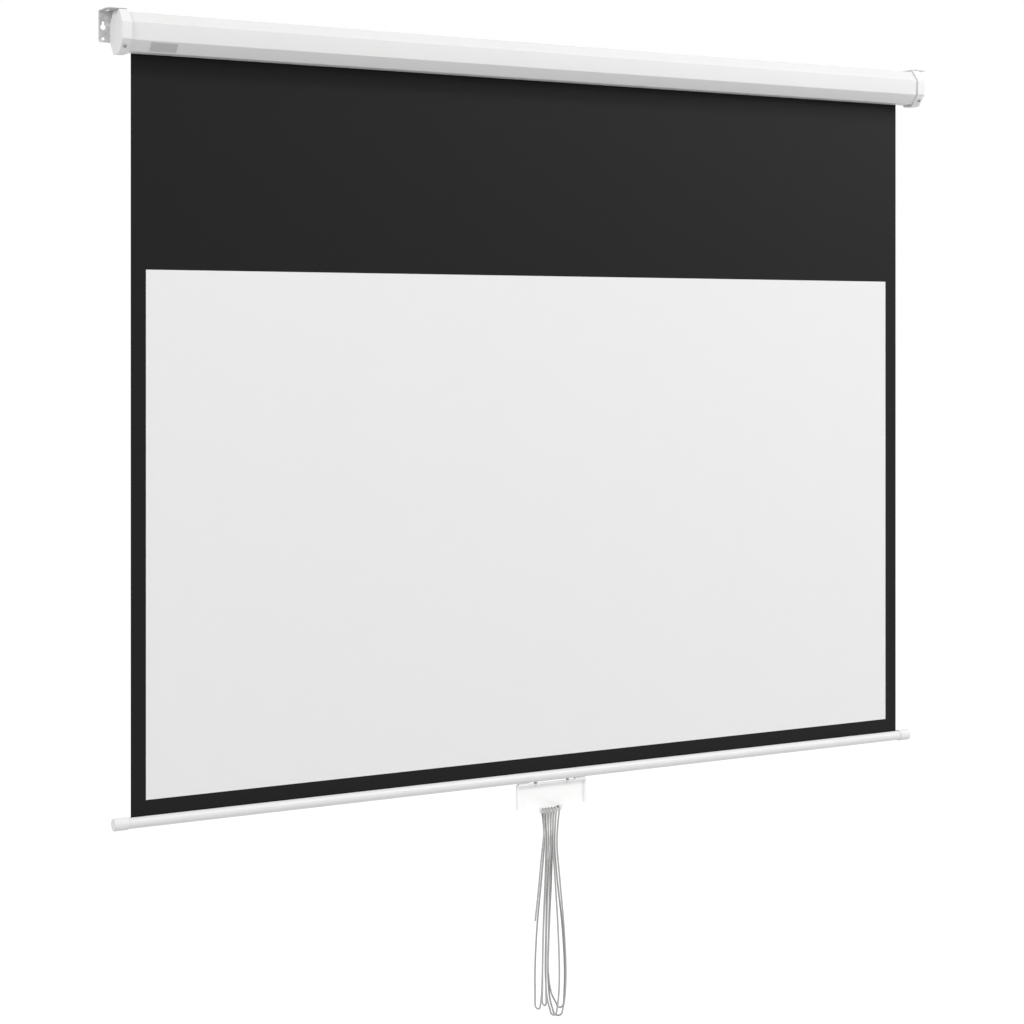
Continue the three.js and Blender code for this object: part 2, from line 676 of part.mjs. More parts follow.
// Pull handle: the back plate with its tab and cord slot, the walls round it and two saddles
function addHandle() {
  const half = handleWidth / 2;
  const shape = new THREE.Shape();
  shape.moveTo(-half, handleTopZ);
  shape.lineTo(-half, handleBottomZ);
  shape.lineTo(-tabShoulder, handleBottomZ);
  shape.lineTo(-tabHalfWidth, tabBottomZ);
  shape.lineTo(tabHalfWidth, tabBottomZ);
  shape.lineTo(tabShoulder, handleBottomZ);
  shape.lineTo(half, handleBottomZ);
  shape.lineTo(half, handleTopZ);
  shape.closePath();
  const slotTopZ = stripTopZ + cordSlotHeight;
  shape.holes.push(new THREE.Path([
    new THREE.Vector2(-cordSlotHalfWidth, stripTopZ), new THREE.Vector2(-cordSlotHalfWidth, slotTopZ),
    new THREE.Vector2(cordSlotHalfWidth, slotTopZ), new THREE.Vector2(cordSlotHalfWidth, stripTopZ),
  ]));
  const frontY = handleFrontY;
  const pieces = [towardsViewer(shape, handleBackY, handleSheet)];
  for (const side of [-1, 1]) {
    const [x0, x1] = span(side, half - handleSheet, half);
    pieces.push(box(x0, x1, frontY, handleBackY, handleBottomZ, handleTopZ));
    const [b0, b1] = span(side, tabShoulder, half);
    pieces.push(box(b0, b1, frontY, handleBackY, handleBottomZ, handleBottomZ + handleSheet));
    const [s0, s1] = span(side, half - saddleInset - saddleWidth, half - saddleInset);
    pieces.push(box(s0, s1, frontY, handleBackY, handleTopZ - handleSheet, barBottomZ + handleGap));
  }
  pieces.push(box(-half, half, frontY, handleBackY, handleTopZ - handleSheet, handleTopZ));
  const tools = [turned(-half, half, barRadius + seatGap, 0, clothY, barZ)];
  for (const side of [-1, 1]) {
    const at = [side * handleScrewSpacing / 2, handleScrewY, handleTopZ];
    tools.push(screwHole(handleScrewRadius, -handleSheet - overrun, overrun, at, up));
  }
  addNode('pull_handle', cut(join(...pieces), ...tools), whitePlastic);
}

function addHandleScrews() {
  for (const [name, side] of [['left', -1], ['right', 1]]) {
    const x = side * handleScrewSpacing / 2;
    const seat = [x, handleScrewY, handleTopZ - handleSheet - seatGap];
    const size = [handleScrewHeadRadius, handleScrewHeadHeight, handleScrewRadius, handleScrewLength];
    addNode(`handle_screw_${name}`, panScrew(...size, seat, down), darkSteel);
    const ring = circle(spacerRadius, x, handleScrewY);
    ring.holes.push(circle(handleScrewRadius + seatGap, x, handleScrewY));
    addNode(`handle_spacer_${name}`, upwards(ring, handleTopZ + seatGap, handleGap - 2 * seatGap), darkSteel);
  }
}

// How far across a strand lies at a share of its fall: drawn in to the waist, out to the belly
// and in again to the tip
function strandAcross(top, belly, tip, share, bow) {
  const quarter = Math.PI / 2;
  const waist = top * (1 - waistDrawShare);
  if (share < waistShare) {
    return top + (waist - top) * Math.sin(quarter * share / waistShare);
  }
  if (share < bellyShare) {
    const along = (share - waistShare) / (bellyShare - waistShare);
    return waist + (belly - waist) * Math.sin(quarter * along) ** bow;
  }
  return belly + (tip - belly) * (1 - Math.cos(quarter * (share - bellyShare) / (1 - bellyShare)));
}

// The hank's centre line: from the knot through the slot, over the strip, and down and up each
// loop in turn, until the tail leaves the strip's front
function hankPath() {
  const points = [];
  const put = (x, y, z) => points.push(new THREE.Vector3(x, handleY + y, bendZ + z));
  const overStrip = (fromX, toX, fromAngle, steps) => {
    for (let i = 0; i < steps; i += 1) {
      const share = i / steps;
      const angle = fromAngle + (Math.PI - fromAngle) * share;
      put(fromX + (toX - fromX) * share, cordBend * Math.cos(angle), cordBend * Math.sin(angle));
    }
  };
  put(hankFirst + knotOffset, handleSheet / 2 + seatGap, cordBend);
  overStrip(hankFirst + knotOffset, hankFirst, Math.PI / 2, topSteps / 2);
  hankLoops.forEach((loop, i) => {
    const frontTop = hankFirst - i * hankPitch;
    const backTop = frontTop - hankPitch / 2;
    const radius = Math.hypot(loop.half, loop.depth);
    const fall = loop.drop - radius;
    const strand = (top, belly, tip, side, share, bow) => {
      const depth = cordBend + (loop.depth - cordBend) * Math.sin(Math.PI / 2 * share);
      put(strandAcross(top, belly, tip, share, bow), side * depth, -fall * share);
    };
    for (const share of strandShares) {
      strand(frontTop, loop.front, loop.tip + loop.half, -1, share, loop.frontBow);
    }
    for (let k = 0; k < bottomSteps; k += 1) {
      const angle = Math.PI * k / bottomSteps;
      const x = loop.tip + loop.half * Math.cos(angle);
      put(x, -loop.depth * Math.cos(angle), -fall - radius * Math.sin(angle));
    }
    for (const share of [1, ...strandShares.slice(1).reverse()]) {
      strand(backTop, loop.back, loop.tip - loop.half, 1, share, loop.backBow);
    }
    overStrip(backTop, frontTop - hankPitch, 0, topSteps);
  });
  const end = hankFirst - hankLoops.length * hankPitch;
  put(end, -cordBend, 0);
  put(end, -cordBend, -cordDiameter);
  return points;
}

// The tail's curve, from just under the hank's end to the cut end
function tailCurve() {
  const start = cordDiameter + seatGap;
  const points = tailPoints.map(
    ([x, drop]) => new THREE.Vector3(x, handleY - cordBend, bendZ - start - drop),
  );
  return new THREE.CatmullRomCurve3(points, false, 'centripetal');
}

// A closed tube along a list of points, its section carried from step to step without twist
function tube(points, radius, sides) {
  const positions = [];
  const index = [];
  const normal = new THREE.Vector3(1, 0, 0);
  points.forEach((point, i) => {
    const before = points[Math.max(i - 1, 0)];
    const after = points[Math.min(i + 1, points.length - 1)];
    const tangent = after.clone().sub(before).normalize();
    normal.addScaledVector(tangent, -normal.dot(tangent)).normalize();
    const binormal = tangent.clone().cross(normal);
    for (let k = 0; k < sides; k += 1) {
      const angle = 2 * Math.PI * k / sides;
      const spoke = normal.clone().multiplyScalar(Math.cos(angle)).addScaledVector(binormal, Math.sin(angle));
      positions.push(...point.clone().addScaledVector(spoke, radius).toArray());
    }
  });
  for (let i = 0; i + 1 < points.length; i += 1) {
    for (let k = 0; k < sides; k += 1) {
      const a = i * sides + k;
      const b = i * sides + (k + 1) % sides;
      index.push(a, b, b + sides, a, b + sides, a + sides);
    }
  }
  const last = (points.length - 1) * sides;
  for (let k = 1; k + 1 < sides; k += 1) {
    index.push(0, k + 1, k, last, last + k, last + k + 1);
  }
  const geometry = new THREE.BufferGeometry();
  geometry.setAttribute('position', new THREE.Float32BufferAttribute(positions, 3));
  geometry.setIndex(index);
  geometry.computeVertexNormals();
  return geometry;
}

// The least clear distance between stretches of the cord that aren't next to each other
function leastGap(points, diameter) {
  const samples = [];
  let run = 0;
  for (let i = 0; i + 1 < points.length; i += 1) {
    const length = points[i].distanceTo(points[i + 1]);
    const pieces = Math.ceil(length / cordRadius);
    for (let k = 0; k < pieces; k += 1) {
      const share = k / pieces;
      samples.push({ at: points[i].clone().lerp(points[i + 1], share), run: run + length * share });
    }
    run += length;
  }
  let least = Infinity;
  const apart = Math.PI * cordBend;
  for (let i = 0; i < samples.length; i += 1) {
    for (let k = i + 1; k < samples.length; k += 1) {
      if (samples[k].run - samples[i].run > apart) {
        least = Math.min(least, samples[i].at.distanceTo(samples[k].at));
      }
    }
  }
  return { gap: least - diameter, length: run };
}

function addCord() {
  const hank = hankPath();
  addNode('cord_hank', tube(hank, cordRadius, cordSides), greyCord);
  const tail = tailCurve();
  const section = new THREE.Shape(new THREE.EllipseCurve(0, 0, cordRadius, cordRadius).getPoints(tailSides));
  addNode('cord_tail', new THREE.ExtrudeGeometry(section, { steps: tailSteps, extrudePath: tail }), greyCord);
  const measured = leastGap([...hank, ...tail.getSpacedPoints(tailSteps)], cordDiameter);
  const length = measured.length.toFixed(0);
  console.log(`pull cord: length ${length} mm, least gap to itself ${measured.gap.toFixed(2)} mm`);
  const knot = new THREE.SphereGeometry(knotRadius, mediumRound, coarseRound);
  const knotY = handleBackY + 2 * seatGap + knotRadius;
  addNode('cord_knot', knot.translate(hankFirst + knotOffset, knotY, bendZ + cordBend), greyCord);
}

addCase();
addEndCaps();
addCapScrews();
addBracket('wall_bracket_left', -1);
addBracket('wall_bracket_right', 1);
addLabel();
addRoller();
addSpindle();
addRatchet();
addPawl('a', 1);
addPawl('b', -1);
addIdleBush();
addCloth();
addHem();
addBar();
addBarCap('bar_cap_left', -1);
addBarCap('bar_cap_right', 1);
addHandle();
addHandleScrews();
addCord();

export default screen;
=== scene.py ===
"""Looks of a pull-down projection screen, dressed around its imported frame.

Everything is in metres in the part's own frame: +X to the viewer's right along the case,
+Y into the wall, +Z up. The picture faces -Y. A class says where its sizes are in millimetres.
"""

import json
import logging
import math
from collections.abc import Iterable, Iterator, Sequence
from contextlib import contextmanager
from dataclasses import dataclass, field, replace
from enum import Enum
from typing import Union

import bmesh
import bpy
from bpy.types import ID, Material, Mesh, NodeSocket, NodeTree, Object
from mathutils import Matrix, Vector


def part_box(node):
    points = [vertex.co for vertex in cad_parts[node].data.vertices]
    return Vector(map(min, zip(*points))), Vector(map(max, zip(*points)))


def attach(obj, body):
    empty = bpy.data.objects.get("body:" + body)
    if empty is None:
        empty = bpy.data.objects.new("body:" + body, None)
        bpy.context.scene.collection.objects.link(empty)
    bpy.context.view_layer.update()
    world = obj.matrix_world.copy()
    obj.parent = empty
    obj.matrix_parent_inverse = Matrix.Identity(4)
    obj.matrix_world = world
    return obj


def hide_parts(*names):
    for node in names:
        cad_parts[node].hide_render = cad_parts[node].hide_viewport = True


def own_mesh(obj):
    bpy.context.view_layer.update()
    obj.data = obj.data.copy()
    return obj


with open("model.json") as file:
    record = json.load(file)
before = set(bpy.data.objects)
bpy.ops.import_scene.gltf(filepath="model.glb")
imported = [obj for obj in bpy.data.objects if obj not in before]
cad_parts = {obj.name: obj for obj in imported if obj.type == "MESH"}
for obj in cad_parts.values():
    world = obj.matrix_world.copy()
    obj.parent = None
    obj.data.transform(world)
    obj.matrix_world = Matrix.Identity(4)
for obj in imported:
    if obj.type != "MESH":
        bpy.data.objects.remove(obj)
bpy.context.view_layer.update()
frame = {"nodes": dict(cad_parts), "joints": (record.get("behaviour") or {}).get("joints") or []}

MM = 0.001
QUARTER = math.pi / 2
TURN = 2 * math.pi
WELD = 0.001 * MM
FLAT_ANGLE = math.radians(1)
EDGE_ANGLE = math.radians(40)
EDGE_STEPS = 2
UP = Vector((0, 0, 1))
WHITE = (1, 1, 1, 1)

Pair = tuple[float, float]
Triple = tuple[float, float, float]

log = logging.getLogger("projection_screen")


class Body(Enum):
    """The frame's moving bodies."""

    CASE = "case"
    ROLLER = "roller"
    PAWL_A = "pawl_a"
    PAWL_B = "pawl_b"
    BAR = "bar"


class Side(Enum):
    """The two ends of the screen, as the viewer sees them."""

    LEFT = -1
    RIGHT = 1

    @property
    def word(self) -> str:
        """The end's name in a node's name."""
        return self.name.lower()


# Node trees


class Wire:
    """An output socket on its way through a node tree, with maths written as expressions."""

    def __init__(self, maker: "NodeMaker", socket: NodeSocket) -> None:
        """Keeps the socket and the tree that it is in."""
        self.maker = maker
        self.socket = socket

    def _maths(self, operation: str, first: "Value", second: "Value") -> "Wire":
        """One Math node on two values."""
        return self.maker.node("ShaderNodeMath", {"operation": operation}, {0: first, 1: second})

    def __add__(self, other: "Value") -> "Wire":
        """The sum."""
        return self._maths("ADD", self, other)

    def __radd__(self, other: "Value") -> "Wire":
        """The sum, with a number first."""
        return self._maths("ADD", other, self)

    def __sub__(self, other: "Value") -> "Wire":
        """The difference."""
        return self._maths("SUBTRACT", self, other)

    def __rsub__(self, other: "Value") -> "Wire":
        """The difference, with a number first."""
        return self._maths("SUBTRACT", other, self)

    def __mul__(self, other: "Value") -> "Wire":
        """The product."""
        return self._maths("MULTIPLY", self, other)

    def __rmul__(self, other: "Value") -> "Wire":
        """The product, with a number first."""
        return self._maths("MULTIPLY", other, self)

    def over(self, other: "Value") -> "Wire":
        """The larger of the two values."""
        return self._maths("MAXIMUM", self, other)

    def wave(self) -> "Wire":
        """The sine of the value, moved to run from 0 to 1."""
        return 0.5 + 0.5 * self._maths("SINE", self, 0.0)


Value = Union[Wire, float, int, bool, Sequence[float], ID]

# The Mix node's colour sockets, by number, because its other kinds have the same names.
COLOUR_A, COLOUR_B, COLOUR_OUT = 6, 7, 2


class NodeMaker:
    """A node tree under construction."""

    def __init__(self, tree: NodeTree) -> None:
        """Keeps the tree."""
        self.tree = tree

    def node(
        self,
        kind: str,
        settings: dict[str, object] | None = None,
        inputs: dict[str | int, Value] | None = None,
        output: str | int = 0,
    ) -> Wire:
        """Adds a node.

        Args:
            kind: the node's type.
            settings: its own settings, set first.
            inputs: values or links for its sockets, by name or number.
            output: the socket to go on from.

        Returns:
            That output, as a wire.
        """
        made = self.tree.nodes.new(kind)
        for key, value in (settings or {}).items():
            setattr(made, key, value)
        for key, value in (inputs or {}).items():
            if isinstance(value, Wire):
                self.tree.links.new(value.socket, made.inputs[key])
            else:
                made.inputs[key].default_value = value
        return Wire(self, made.outputs[output])

    def end(self, kind: str, wire: Wire) -> None:
        """Links a wire to the first socket of a new output node."""
        self.tree.links.new(wire.socket, self.tree.nodes.new(kind).inputs[0])


class Graph(NodeMaker):
    """The nodes of one material."""

    def __init__(self, name: str) -> None:
        """Starts an empty material.

        Args:
            name: its name.
        """
        self.material = bpy.data.materials.new(name)
        self.material.use_nodes = True
        super().__init__(self.material.node_tree)
        self.tree.nodes.clear()

    def place(self) -> Wire:
        """The point's place in the object."""
        return self.node("ShaderNodeTexCoord", output="Object")

    def around_and_along(self) -> tuple[Wire, Wire]:
        """The share of the way round a cord and the metres along it, from its UV map."""
        split = self.node("ShaderNodeSeparateXYZ", inputs={0: self.node("ShaderNodeUVMap")})
        return split, Wire(self, split.socket.node.outputs[1])

    def stretched(self, vector: Wire, scale: Sequence[float]) -> Wire:
        """The vector, scaled along each axis."""
        return self.node("ShaderNodeMapping", inputs={"Vector": vector, "Scale": scale})

    def noise(self, vector: Wire, scale: float, detail: float = 2.0) -> Wire:
        """Soft noise with that many grains a metre."""
        inputs = {"Vector": vector, "Scale": scale, "Detail": detail}
        return self.node("ShaderNodeTexNoise", inputs=inputs)

    def tint(self, factor: Wire, dark: Sequence[float], light: Sequence[float]) -> Wire:
        """A colour between two, the dark one where the factor is 0."""
        inputs = {0: factor, COLOUR_A: (*dark, 1.0), COLOUR_B: (*light, 1.0)}
        return self.node("ShaderNodeMix", {"data_type": "RGBA"}, inputs, COLOUR_OUT)

    def bump(self, height: Wire, depth: float, strength: float) -> Wire:
        """A normal that follows a height."""
        inputs = {"Strength": strength, "Distance": depth, "Height": height}
        return self.node("ShaderNodeBump", inputs=inputs)

    def close(self, inputs: dict[str, Value]) -> Material:
        """Ends the material with a Principled shader of those inputs."""
        self.end("ShaderNodeOutputMaterial", self.node("ShaderNodeBsdfPrincipled", inputs=inputs))
        return self.material


class Recipe(NodeMaker):
    """A Geometry Nodes tree with named inputs, run once on a host mesh."""

    def __init__(self, name: str, kinds: dict[str, str]) -> None:
        """Starts the tree.

        Args:
            name: the tree's name.
            kinds: the socket type of each named input. Geometry and Finish are always there.
        """
        super().__init__(bpy.data.node_groups.new(name, "GeometryNodeTree"))
        sides = self.tree.interface
        sides.new_socket(name="Geometry", in_out="INPUT", socket_type="NodeSocketGeometry")
        wanted = {**kinds, "Finish": "NodeSocketMaterial"}
        self.identifiers = {
            label: sides.new_socket(name=label, in_out="INPUT", socket_type=kind).identifier
            for label, kind in wanted.items()
        }
        sides.new_socket(name="Geometry", in_out="OUTPUT", socket_type="NodeSocketGeometry")
        self.entry = self.tree.nodes.new("NodeGroupInput")

    def given(self, label: str) -> Wire:
        """One of the tree's own inputs."""
        return Wire(self, self.entry.outputs[label])

    def close(self, geometry: Wire) -> None:
        """Ends the tree with real geometry in the given finish.

        Args:
            geometry: what the tree has built.
        """
        real = self.node("GeometryNodeRealizeInstances", inputs={"Geometry": geometry})
        finish = {"Geometry": real, "Material": self.given("Finish")}
        self.end("NodeGroupOutput", self.node("GeometryNodeSetMaterial", inputs=finish))

    def make(self, name: str, host: Mesh, values: dict[str, Value]) -> Object:
        """Runs the tree on a host mesh.

        Args:
            name: the piece's name.
            host: the mesh that the tree starts from.
            values: the tree's inputs by name.

        Returns:
            A plain mesh object without the modifier.
        """
        made = shown(name, host)
        modifier = made.modifiers.new(name, "NODES")
        modifier.node_group = self.tree
        for label, value in values.items():
            modifier[self.identifiers[label]] = value
        return settled(made)


# Meshes


def shown(name: str, mesh: Mesh) -> Object:
    """A new object in the scene at the origin.

    Args:
        name: its name.
        mesh: its mesh.

    Returns:
        The object.
    """
    made = bpy.data.objects.new(name, mesh)
    bpy.context.scene.collection.objects.link(made)
    return made


def settled(piece: Object) -> Object:
    """Turns a piece's modifiers, or a curve, into its plain mesh.

    Args:
        piece: a mesh or curve object.

    Returns:
        The same object if it is a mesh, or a new one of the same name.
    """
    evaluated = piece.evaluated_get(bpy.context.evaluated_depsgraph_get())
    mesh = bpy.data.meshes.new_from_object(evaluated)
    if piece.type == "MESH":
        piece.modifiers.clear()
        piece.data = mesh
        return piece
    name = piece.name
    bpy.data.objects.remove(piece)
    return shown(name, mesh)


def from_faces(
    name: str, points: Iterable[Sequence[float]], faces: Iterable[Sequence[int]]
) -> Mesh:
    """A closed mesh from points and faces, its doubles merged and its faces turned outwards.

    Args:
        name: the mesh's name.
        points: its points.
        faces: the points of each face, by number.

    Returns:
        The mesh.
    """
    mesh = bpy.data.meshes.new(name)
    mesh.from_pydata([tuple(p) for p in points], [], [tuple(f) for f in faces])
    return cleaned(mesh)


@contextmanager
def opened(mesh: Mesh) -> Iterator[bmesh.types.BMesh]:
    """Opens a mesh for edits and writes it back at the end.

    Args:
        mesh: the mesh to edit.

    Yields:
        Its editable copy.
    """
    work = bmesh.new()
    work.from_mesh(mesh)
    yield work
    work.to_mesh(mesh)
    work.free()


def cleaned(mesh: Mesh) -> Mesh:
    """Merges a closed mesh's doubles and turns its faces outwards.

    Args:
        mesh: the mesh to clean.

    Returns:
        The same mesh.
    """
    with opened(mesh) as work:
        bmesh.ops.remove_doubles(work, verts=work.verts, dist=WELD)
        bmesh.ops.recalc_face_normals(work, faces=work.faces)
    return mesh


def smoothed(piece: Object, angle: float = 35.0) -> Object:
    """Shades a piece smooth, apart from its sharp edges.

    Args:
        piece: a mesh object.
        angle: the least angle of a sharp edge, in degrees.

    Returns:
        The same object.
    """
    piece.data.shade_smooth()
    piece.data.set_sharp_from_angle(angle=math.radians(angle))
    return piece


def steps_to(end: float, count: int) -> list[float]:
    """Even steps from zero to an end, both among them."""
    return [end * k / count for k in range(count + 1)]


def scaled(points: Iterable[Sequence[float]]) -> list[Pair]:
    """Points in millimetres, in metres."""
    return [(x * MM, y * MM) for x, y in points]


def drawn_out(section: Sequence[Sequence[float]], places: Iterable[float]) -> list[list[Vector]]:
    """A (y, z) section, set at each of some places along X."""
    return [[Vector((x, y, z)) for y, z in section] for x in places]


def ring_faces(rings: int, count: int) -> list[tuple[int, ...]]:
    """The quads between rings of points, all the way round.

    Args:
        rings: how many rings there are.
        count: the points in each.

    Returns:
        The faces, ring by ring.
    """
    return [
        (a + k, a + (k + 1) % count, a + count + (k + 1) % count, a + count + k)
        for a in range(0, (rings - 1) * count, count) for k in range(count)
    ]


def skinned(
    name: str, rings: Sequence[Sequence[Vector]],
    first: Sequence[Sequence[int]] = (), last: Sequence[Sequence[int]] = (),
) -> Mesh:
    """A closed mesh over rings of as many points each.

    Args:
        name: the mesh's name.
        rings: the rings. A skin without more faces ends in the ring that it starts with.
        first: the faces that come before the skin's.
        last: the faces that come after them.

    Returns:
        The mesh.
    """
    points = [p for ring in rings for p in ring]
    return from_faces(name, points, [*first, *ring_faces(len(rings), len(rings[0])), *last])


def loft(name: str, rings: Sequence[Sequence[Vector]]) -> Mesh:
    """A closed skin over rings of as many points each, with its two ends filled."""
    count, start = len(rings[0]), (len(rings) - 1) * len(rings[0])
    return skinned(name, rings, [range(count)], [range(start, start + count)])


def lathe(name: str, profile: Sequence[Pair], sides: int) -> Mesh:
    """A turned mesh about +Z.

    Args:
        name: the mesh's name.
        profile: radius and height of each point, first and last on the axis.
        sides: how many flats go round it.

    Returns:
        The closed mesh, foot at height zero.
    """
    points: list[Triple] = []
    rings: list[list[int]] = []
    for radius, height in profile:
        around = 1 if radius == 0 else sides
        rings.append([len(points) + k for k in range(around)])
        for k in range(around):
            angle = TURN * k / sides
            points.append((radius * math.cos(angle), radius * math.sin(angle), height))
    faces = []
    for low, high in zip(rings, rings[1:]):
        for k in range(sides):
            way = ((low, k), (low, k + 1), (high, k + 1), (high, k))
            faces.append(tuple(dict.fromkeys(ring[j % len(ring)] for ring, j in way)))
    return from_faces(name, points, [f for f in faces if len(f) > 2])


def arc(
    centre: Sequence[float], radius: float, start: float, end: float, steps: int
) -> list[Pair]:
    """Points along an arc, both ends among them."""
    angles = [start + (end - start) * k / steps for k in range(steps + 1)]
    return [(centre[0] + radius * math.cos(a), centre[1] + radius * math.sin(a)) for a in angles]


def circle(centre: Sequence[float], radius: float, steps: int = 32) -> list[Pair]:
    """Points round a circle."""
    return arc(centre, radius, 0, TURN, steps)[:-1]


def plate(
    name: str, outline: Sequence[Sequence[float]], holes: Sequence[Sequence[Sequence[float]]],
    thickness: float, edge: float,
) -> Object:
    """A flat plate in (x, y) with rounded edges, its middle at height zero.

    Args:
        name: the piece's name.
        outline: the outer corners.
        holes: the outline of each hole.
        thickness: the sheet's thickness.
        edge: how far its edges are rounded.

    Returns:
        A mesh object.
    """
    curve = bpy.data.curves.new(name, "CURVE")
    curve.dimensions = "2D"
    curve.fill_mode = "BOTH"
    curve.extrude = thickness / 2 - edge
    curve.bevel_depth = edge
    curve.bevel_resolution = EDGE_STEPS
    curve.offset = -edge
    for loop in [outline, *holes]:
        spline = curve.splines.new("POLY")
        spline.points.add(len(loop) - 1)
        for point, (x, y) in zip(spline.points, loop):
            point.co = (x, y, 0, 1)
        spline.use_cyclic_u = True
    made = settled(shown(name, curve))
    cleaned(made.data)
    return made


def combined(piece: Object, solids: Sequence[Mesh], operation: str = "DIFFERENCE") -> Object:
    """Joins solids to a piece or cuts them from it.

    Args:
        piece: the mesh object to work on.
        solids: the closed meshes to use.
        operation: what the Boolean modifier does with them.

    Returns:
        The same object.
    """
    tools = [shown(mesh.name, mesh) for mesh in solids]
    for made in tools:
        modifier = piece.modifiers.new(made.name, "BOOLEAN")
        modifier.operation = operation
        modifier.solver = "EXACT"
        modifier.object = made
    settled(piece)
    cleaned(piece.data)
    for made in tools:
        bpy.data.objects.remove(made)
    return piece


def softened(node: str, name: str, width: float) -> Object:
    """A merged copy of a frame node with rounded edges.

    Args:
        node: the node to copy.
        name: the piece's name.
        width: how far the edges are rounded.

    Returns:
        A mesh object that lies where the node does.
    """
    mesh = frame["nodes"][node].data.copy()
    mesh.materials.clear()
    with opened(mesh) as work:
        bmesh.ops.remove_doubles(work, verts=work.verts, dist=WELD)
        bmesh.ops.dissolve_limit(work, angle_limit=FLAT_ANGLE, verts=work.verts, edges=work.edges)
    made = shown(name, mesh)
    made.data.shade_smooth()
    bevel = made.modifiers.new("edges", "BEVEL")
    bevel.width = width
    bevel.segments = EDGE_STEPS
    bevel.limit_method = "ANGLE"
    bevel.angle_limit = EDGE_ANGLE
    bevel.harden_normals = True
    return settled(made)


@dataclass(frozen=True)
class EightSided:
    """An eight-sided section in (y, z) about its middle, in millimetres: half its depth and height,
    its upright and its level flats, its corners' radius, and how fast the flats grow with it."""

    half_depth: float
    half_height: float
    front_flat: float
    bottom_flat: float
    corner: float
    front_growth: float = 0.74
    bottom_growth: float = 0.9
    corner_steps: int = 4

    def corners(self) -> list[Vector]:
        """Its sharp corners, from the front's upper one down and round.

        Returns:
            Eight points about the middle.
        """
        f, g = self.front_flat / 2, self.bottom_flat / 2
        d, h = self.half_depth, self.half_height
        places = ((-d, f), (-d, -f), (-g, -h), (g, -h), (d, -f), (d, f), (g, h), (-g, h))
        return [Vector(place) for place in places]

    def grown(self, by: float) -> "EightSided":
        """The section, larger by that on every side, with the same corners.

        Args:
            by: how much larger.

        Returns:
            The larger section.
        """
        return replace(
            self, half_depth=self.half_depth + by, half_height=self.half_height + by,
            front_flat=self.front_flat + by * self.front_growth,
            bottom_flat=self.bottom_flat + by * self.bottom_growth,
        )

    def slope_normal(self) -> Vector:
        """The way out of its lower front slope."""
        rise, run = self.half_height - self.front_flat / 2, self.half_depth - self.bottom_flat / 2
        return Vector((0, -rise, -run)).normalized()

    def slope_middle(self) -> Vector:
        """The middle of its lower front slope.

        Returns:
            A point from the middle.
        """
        depth = self.half_depth + self.bottom_flat / 2
        height = self.half_height + self.front_flat / 2
        return Vector((0, -depth / 2, -height / 2))

    def outline(self) -> list[Vector]:
        """Its outline with rounded corners.

        Returns:
            Points about the middle, one more for each corner than the facets round it.
        """
        corners = self.corners()
        points: list[Vector] = []
        for i, at in enumerate(corners):
            before = (corners[i - 1] - at).normalized()
            after = (corners[(i + 1) % len(corners)] - at).normalized()
            half = before.angle(after) / 2
            middle = at + (before + after).normalized() * (self.corner / math.sin(half))
            first = at + before * (self.corner / math.tan(half)) - middle
            turn = math.copysign(1.0, before.x * after.y - before.y * after.x)
            for angle in steps_to(math.pi - 2 * half, self.corner_steps):
                spoke = first.copy()
                spoke.rotate(Matrix.Rotation(-turn * angle, 2))
                points.append(middle + spoke)
        return points


def middle_of(node: str) -> Vector:
    """The middle of a frame node's box."""
    low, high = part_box(node)
    return (low + high) / 2


# Finishes


@dataclass(frozen=True)
class Finish:
    """A surface finish, whose kinds build their own nodes.

    Its tones are the shares of its colour that it runs between. Its roughness starts that far below
    its own and swings by that much. Its relief is so deep, in metres, and shows that strongly.
    """

    name: str
    slot: str
    colour: Triple
    roughness: float
    tones: Pair = (0.98, 1.02)
    below: float = 0.05
    swing: float = 0.1
    depth: float = 0.01 * MM
    strength: float = 0.4
    metal: float = 0.0
    gloss: float = 0.5
    fuzz: float = 0.0

    def dress(self, graph: Graph) -> Material:
        """Builds the material's nodes. Each kind has its own."""
        raise NotImplementedError

    def material(self) -> Material:
        """The finish's material, made when it is first asked for."""
        return bpy.data.materials.get(self.name) or self.dress(Graph(self.name))

    def shade(self, level: float) -> Triple:
        """The finish's colour, made lighter or darker."""
        return tuple(min(1.0, c * level) for c in self.colour)

    def surface(self, graph: Graph, tone: Wire, wear: Wire, height: Wire) -> Material:
        """Ends the material's nodes.

        Args:
            graph: the nodes.
            tone: what the colour follows.
            wear: what the roughness follows.
            height: what the normal follows.

        Returns:
            The material.
        """
        dark, light = self.tones
        return graph.close({
            "Base Color": graph.tint(tone, self.shade(dark), self.shade(light)),
            "Roughness": self.roughness - self.below + self.swing * wear,
            "Metallic": self.metal,
            "Specular IOR Level": self.gloss,
            "Sheen Weight": self.fuzz,
            "Normal": graph.bump(height, self.depth, self.strength),
        })


def mixed(first: Wire, second: Wire, share: float) -> Wire:
    """Two values mixed, with that share of the first."""
    return share * first + (1 - share) * second


@dataclass(frozen=True)
class PowderCoat(Finish):
    """Satin coat on sheet metal, with a faint orange peel. Grains a metre."""

    below: float = 0.04
    swing: float = 0.08
    depth: float = 0.03 * MM
    strength: float = 0.35
    gloss: float = 0.4
    peel: float = 520.0
    patches: float = 9.0
    smears: float = 40.0

    def dress(self, graph: Graph) -> Material:
        """Peel in the normal, and slow patches of tone and gloss.

        Args:
            graph: the material's nodes.

        Returns:
            The material.
        """
        place = graph.place()
        patches, smears = graph.noise(place, self.patches), graph.noise(place, self.smears)
        return self.surface(graph, patches, smears, graph.noise(place, self.peel, 3.0))


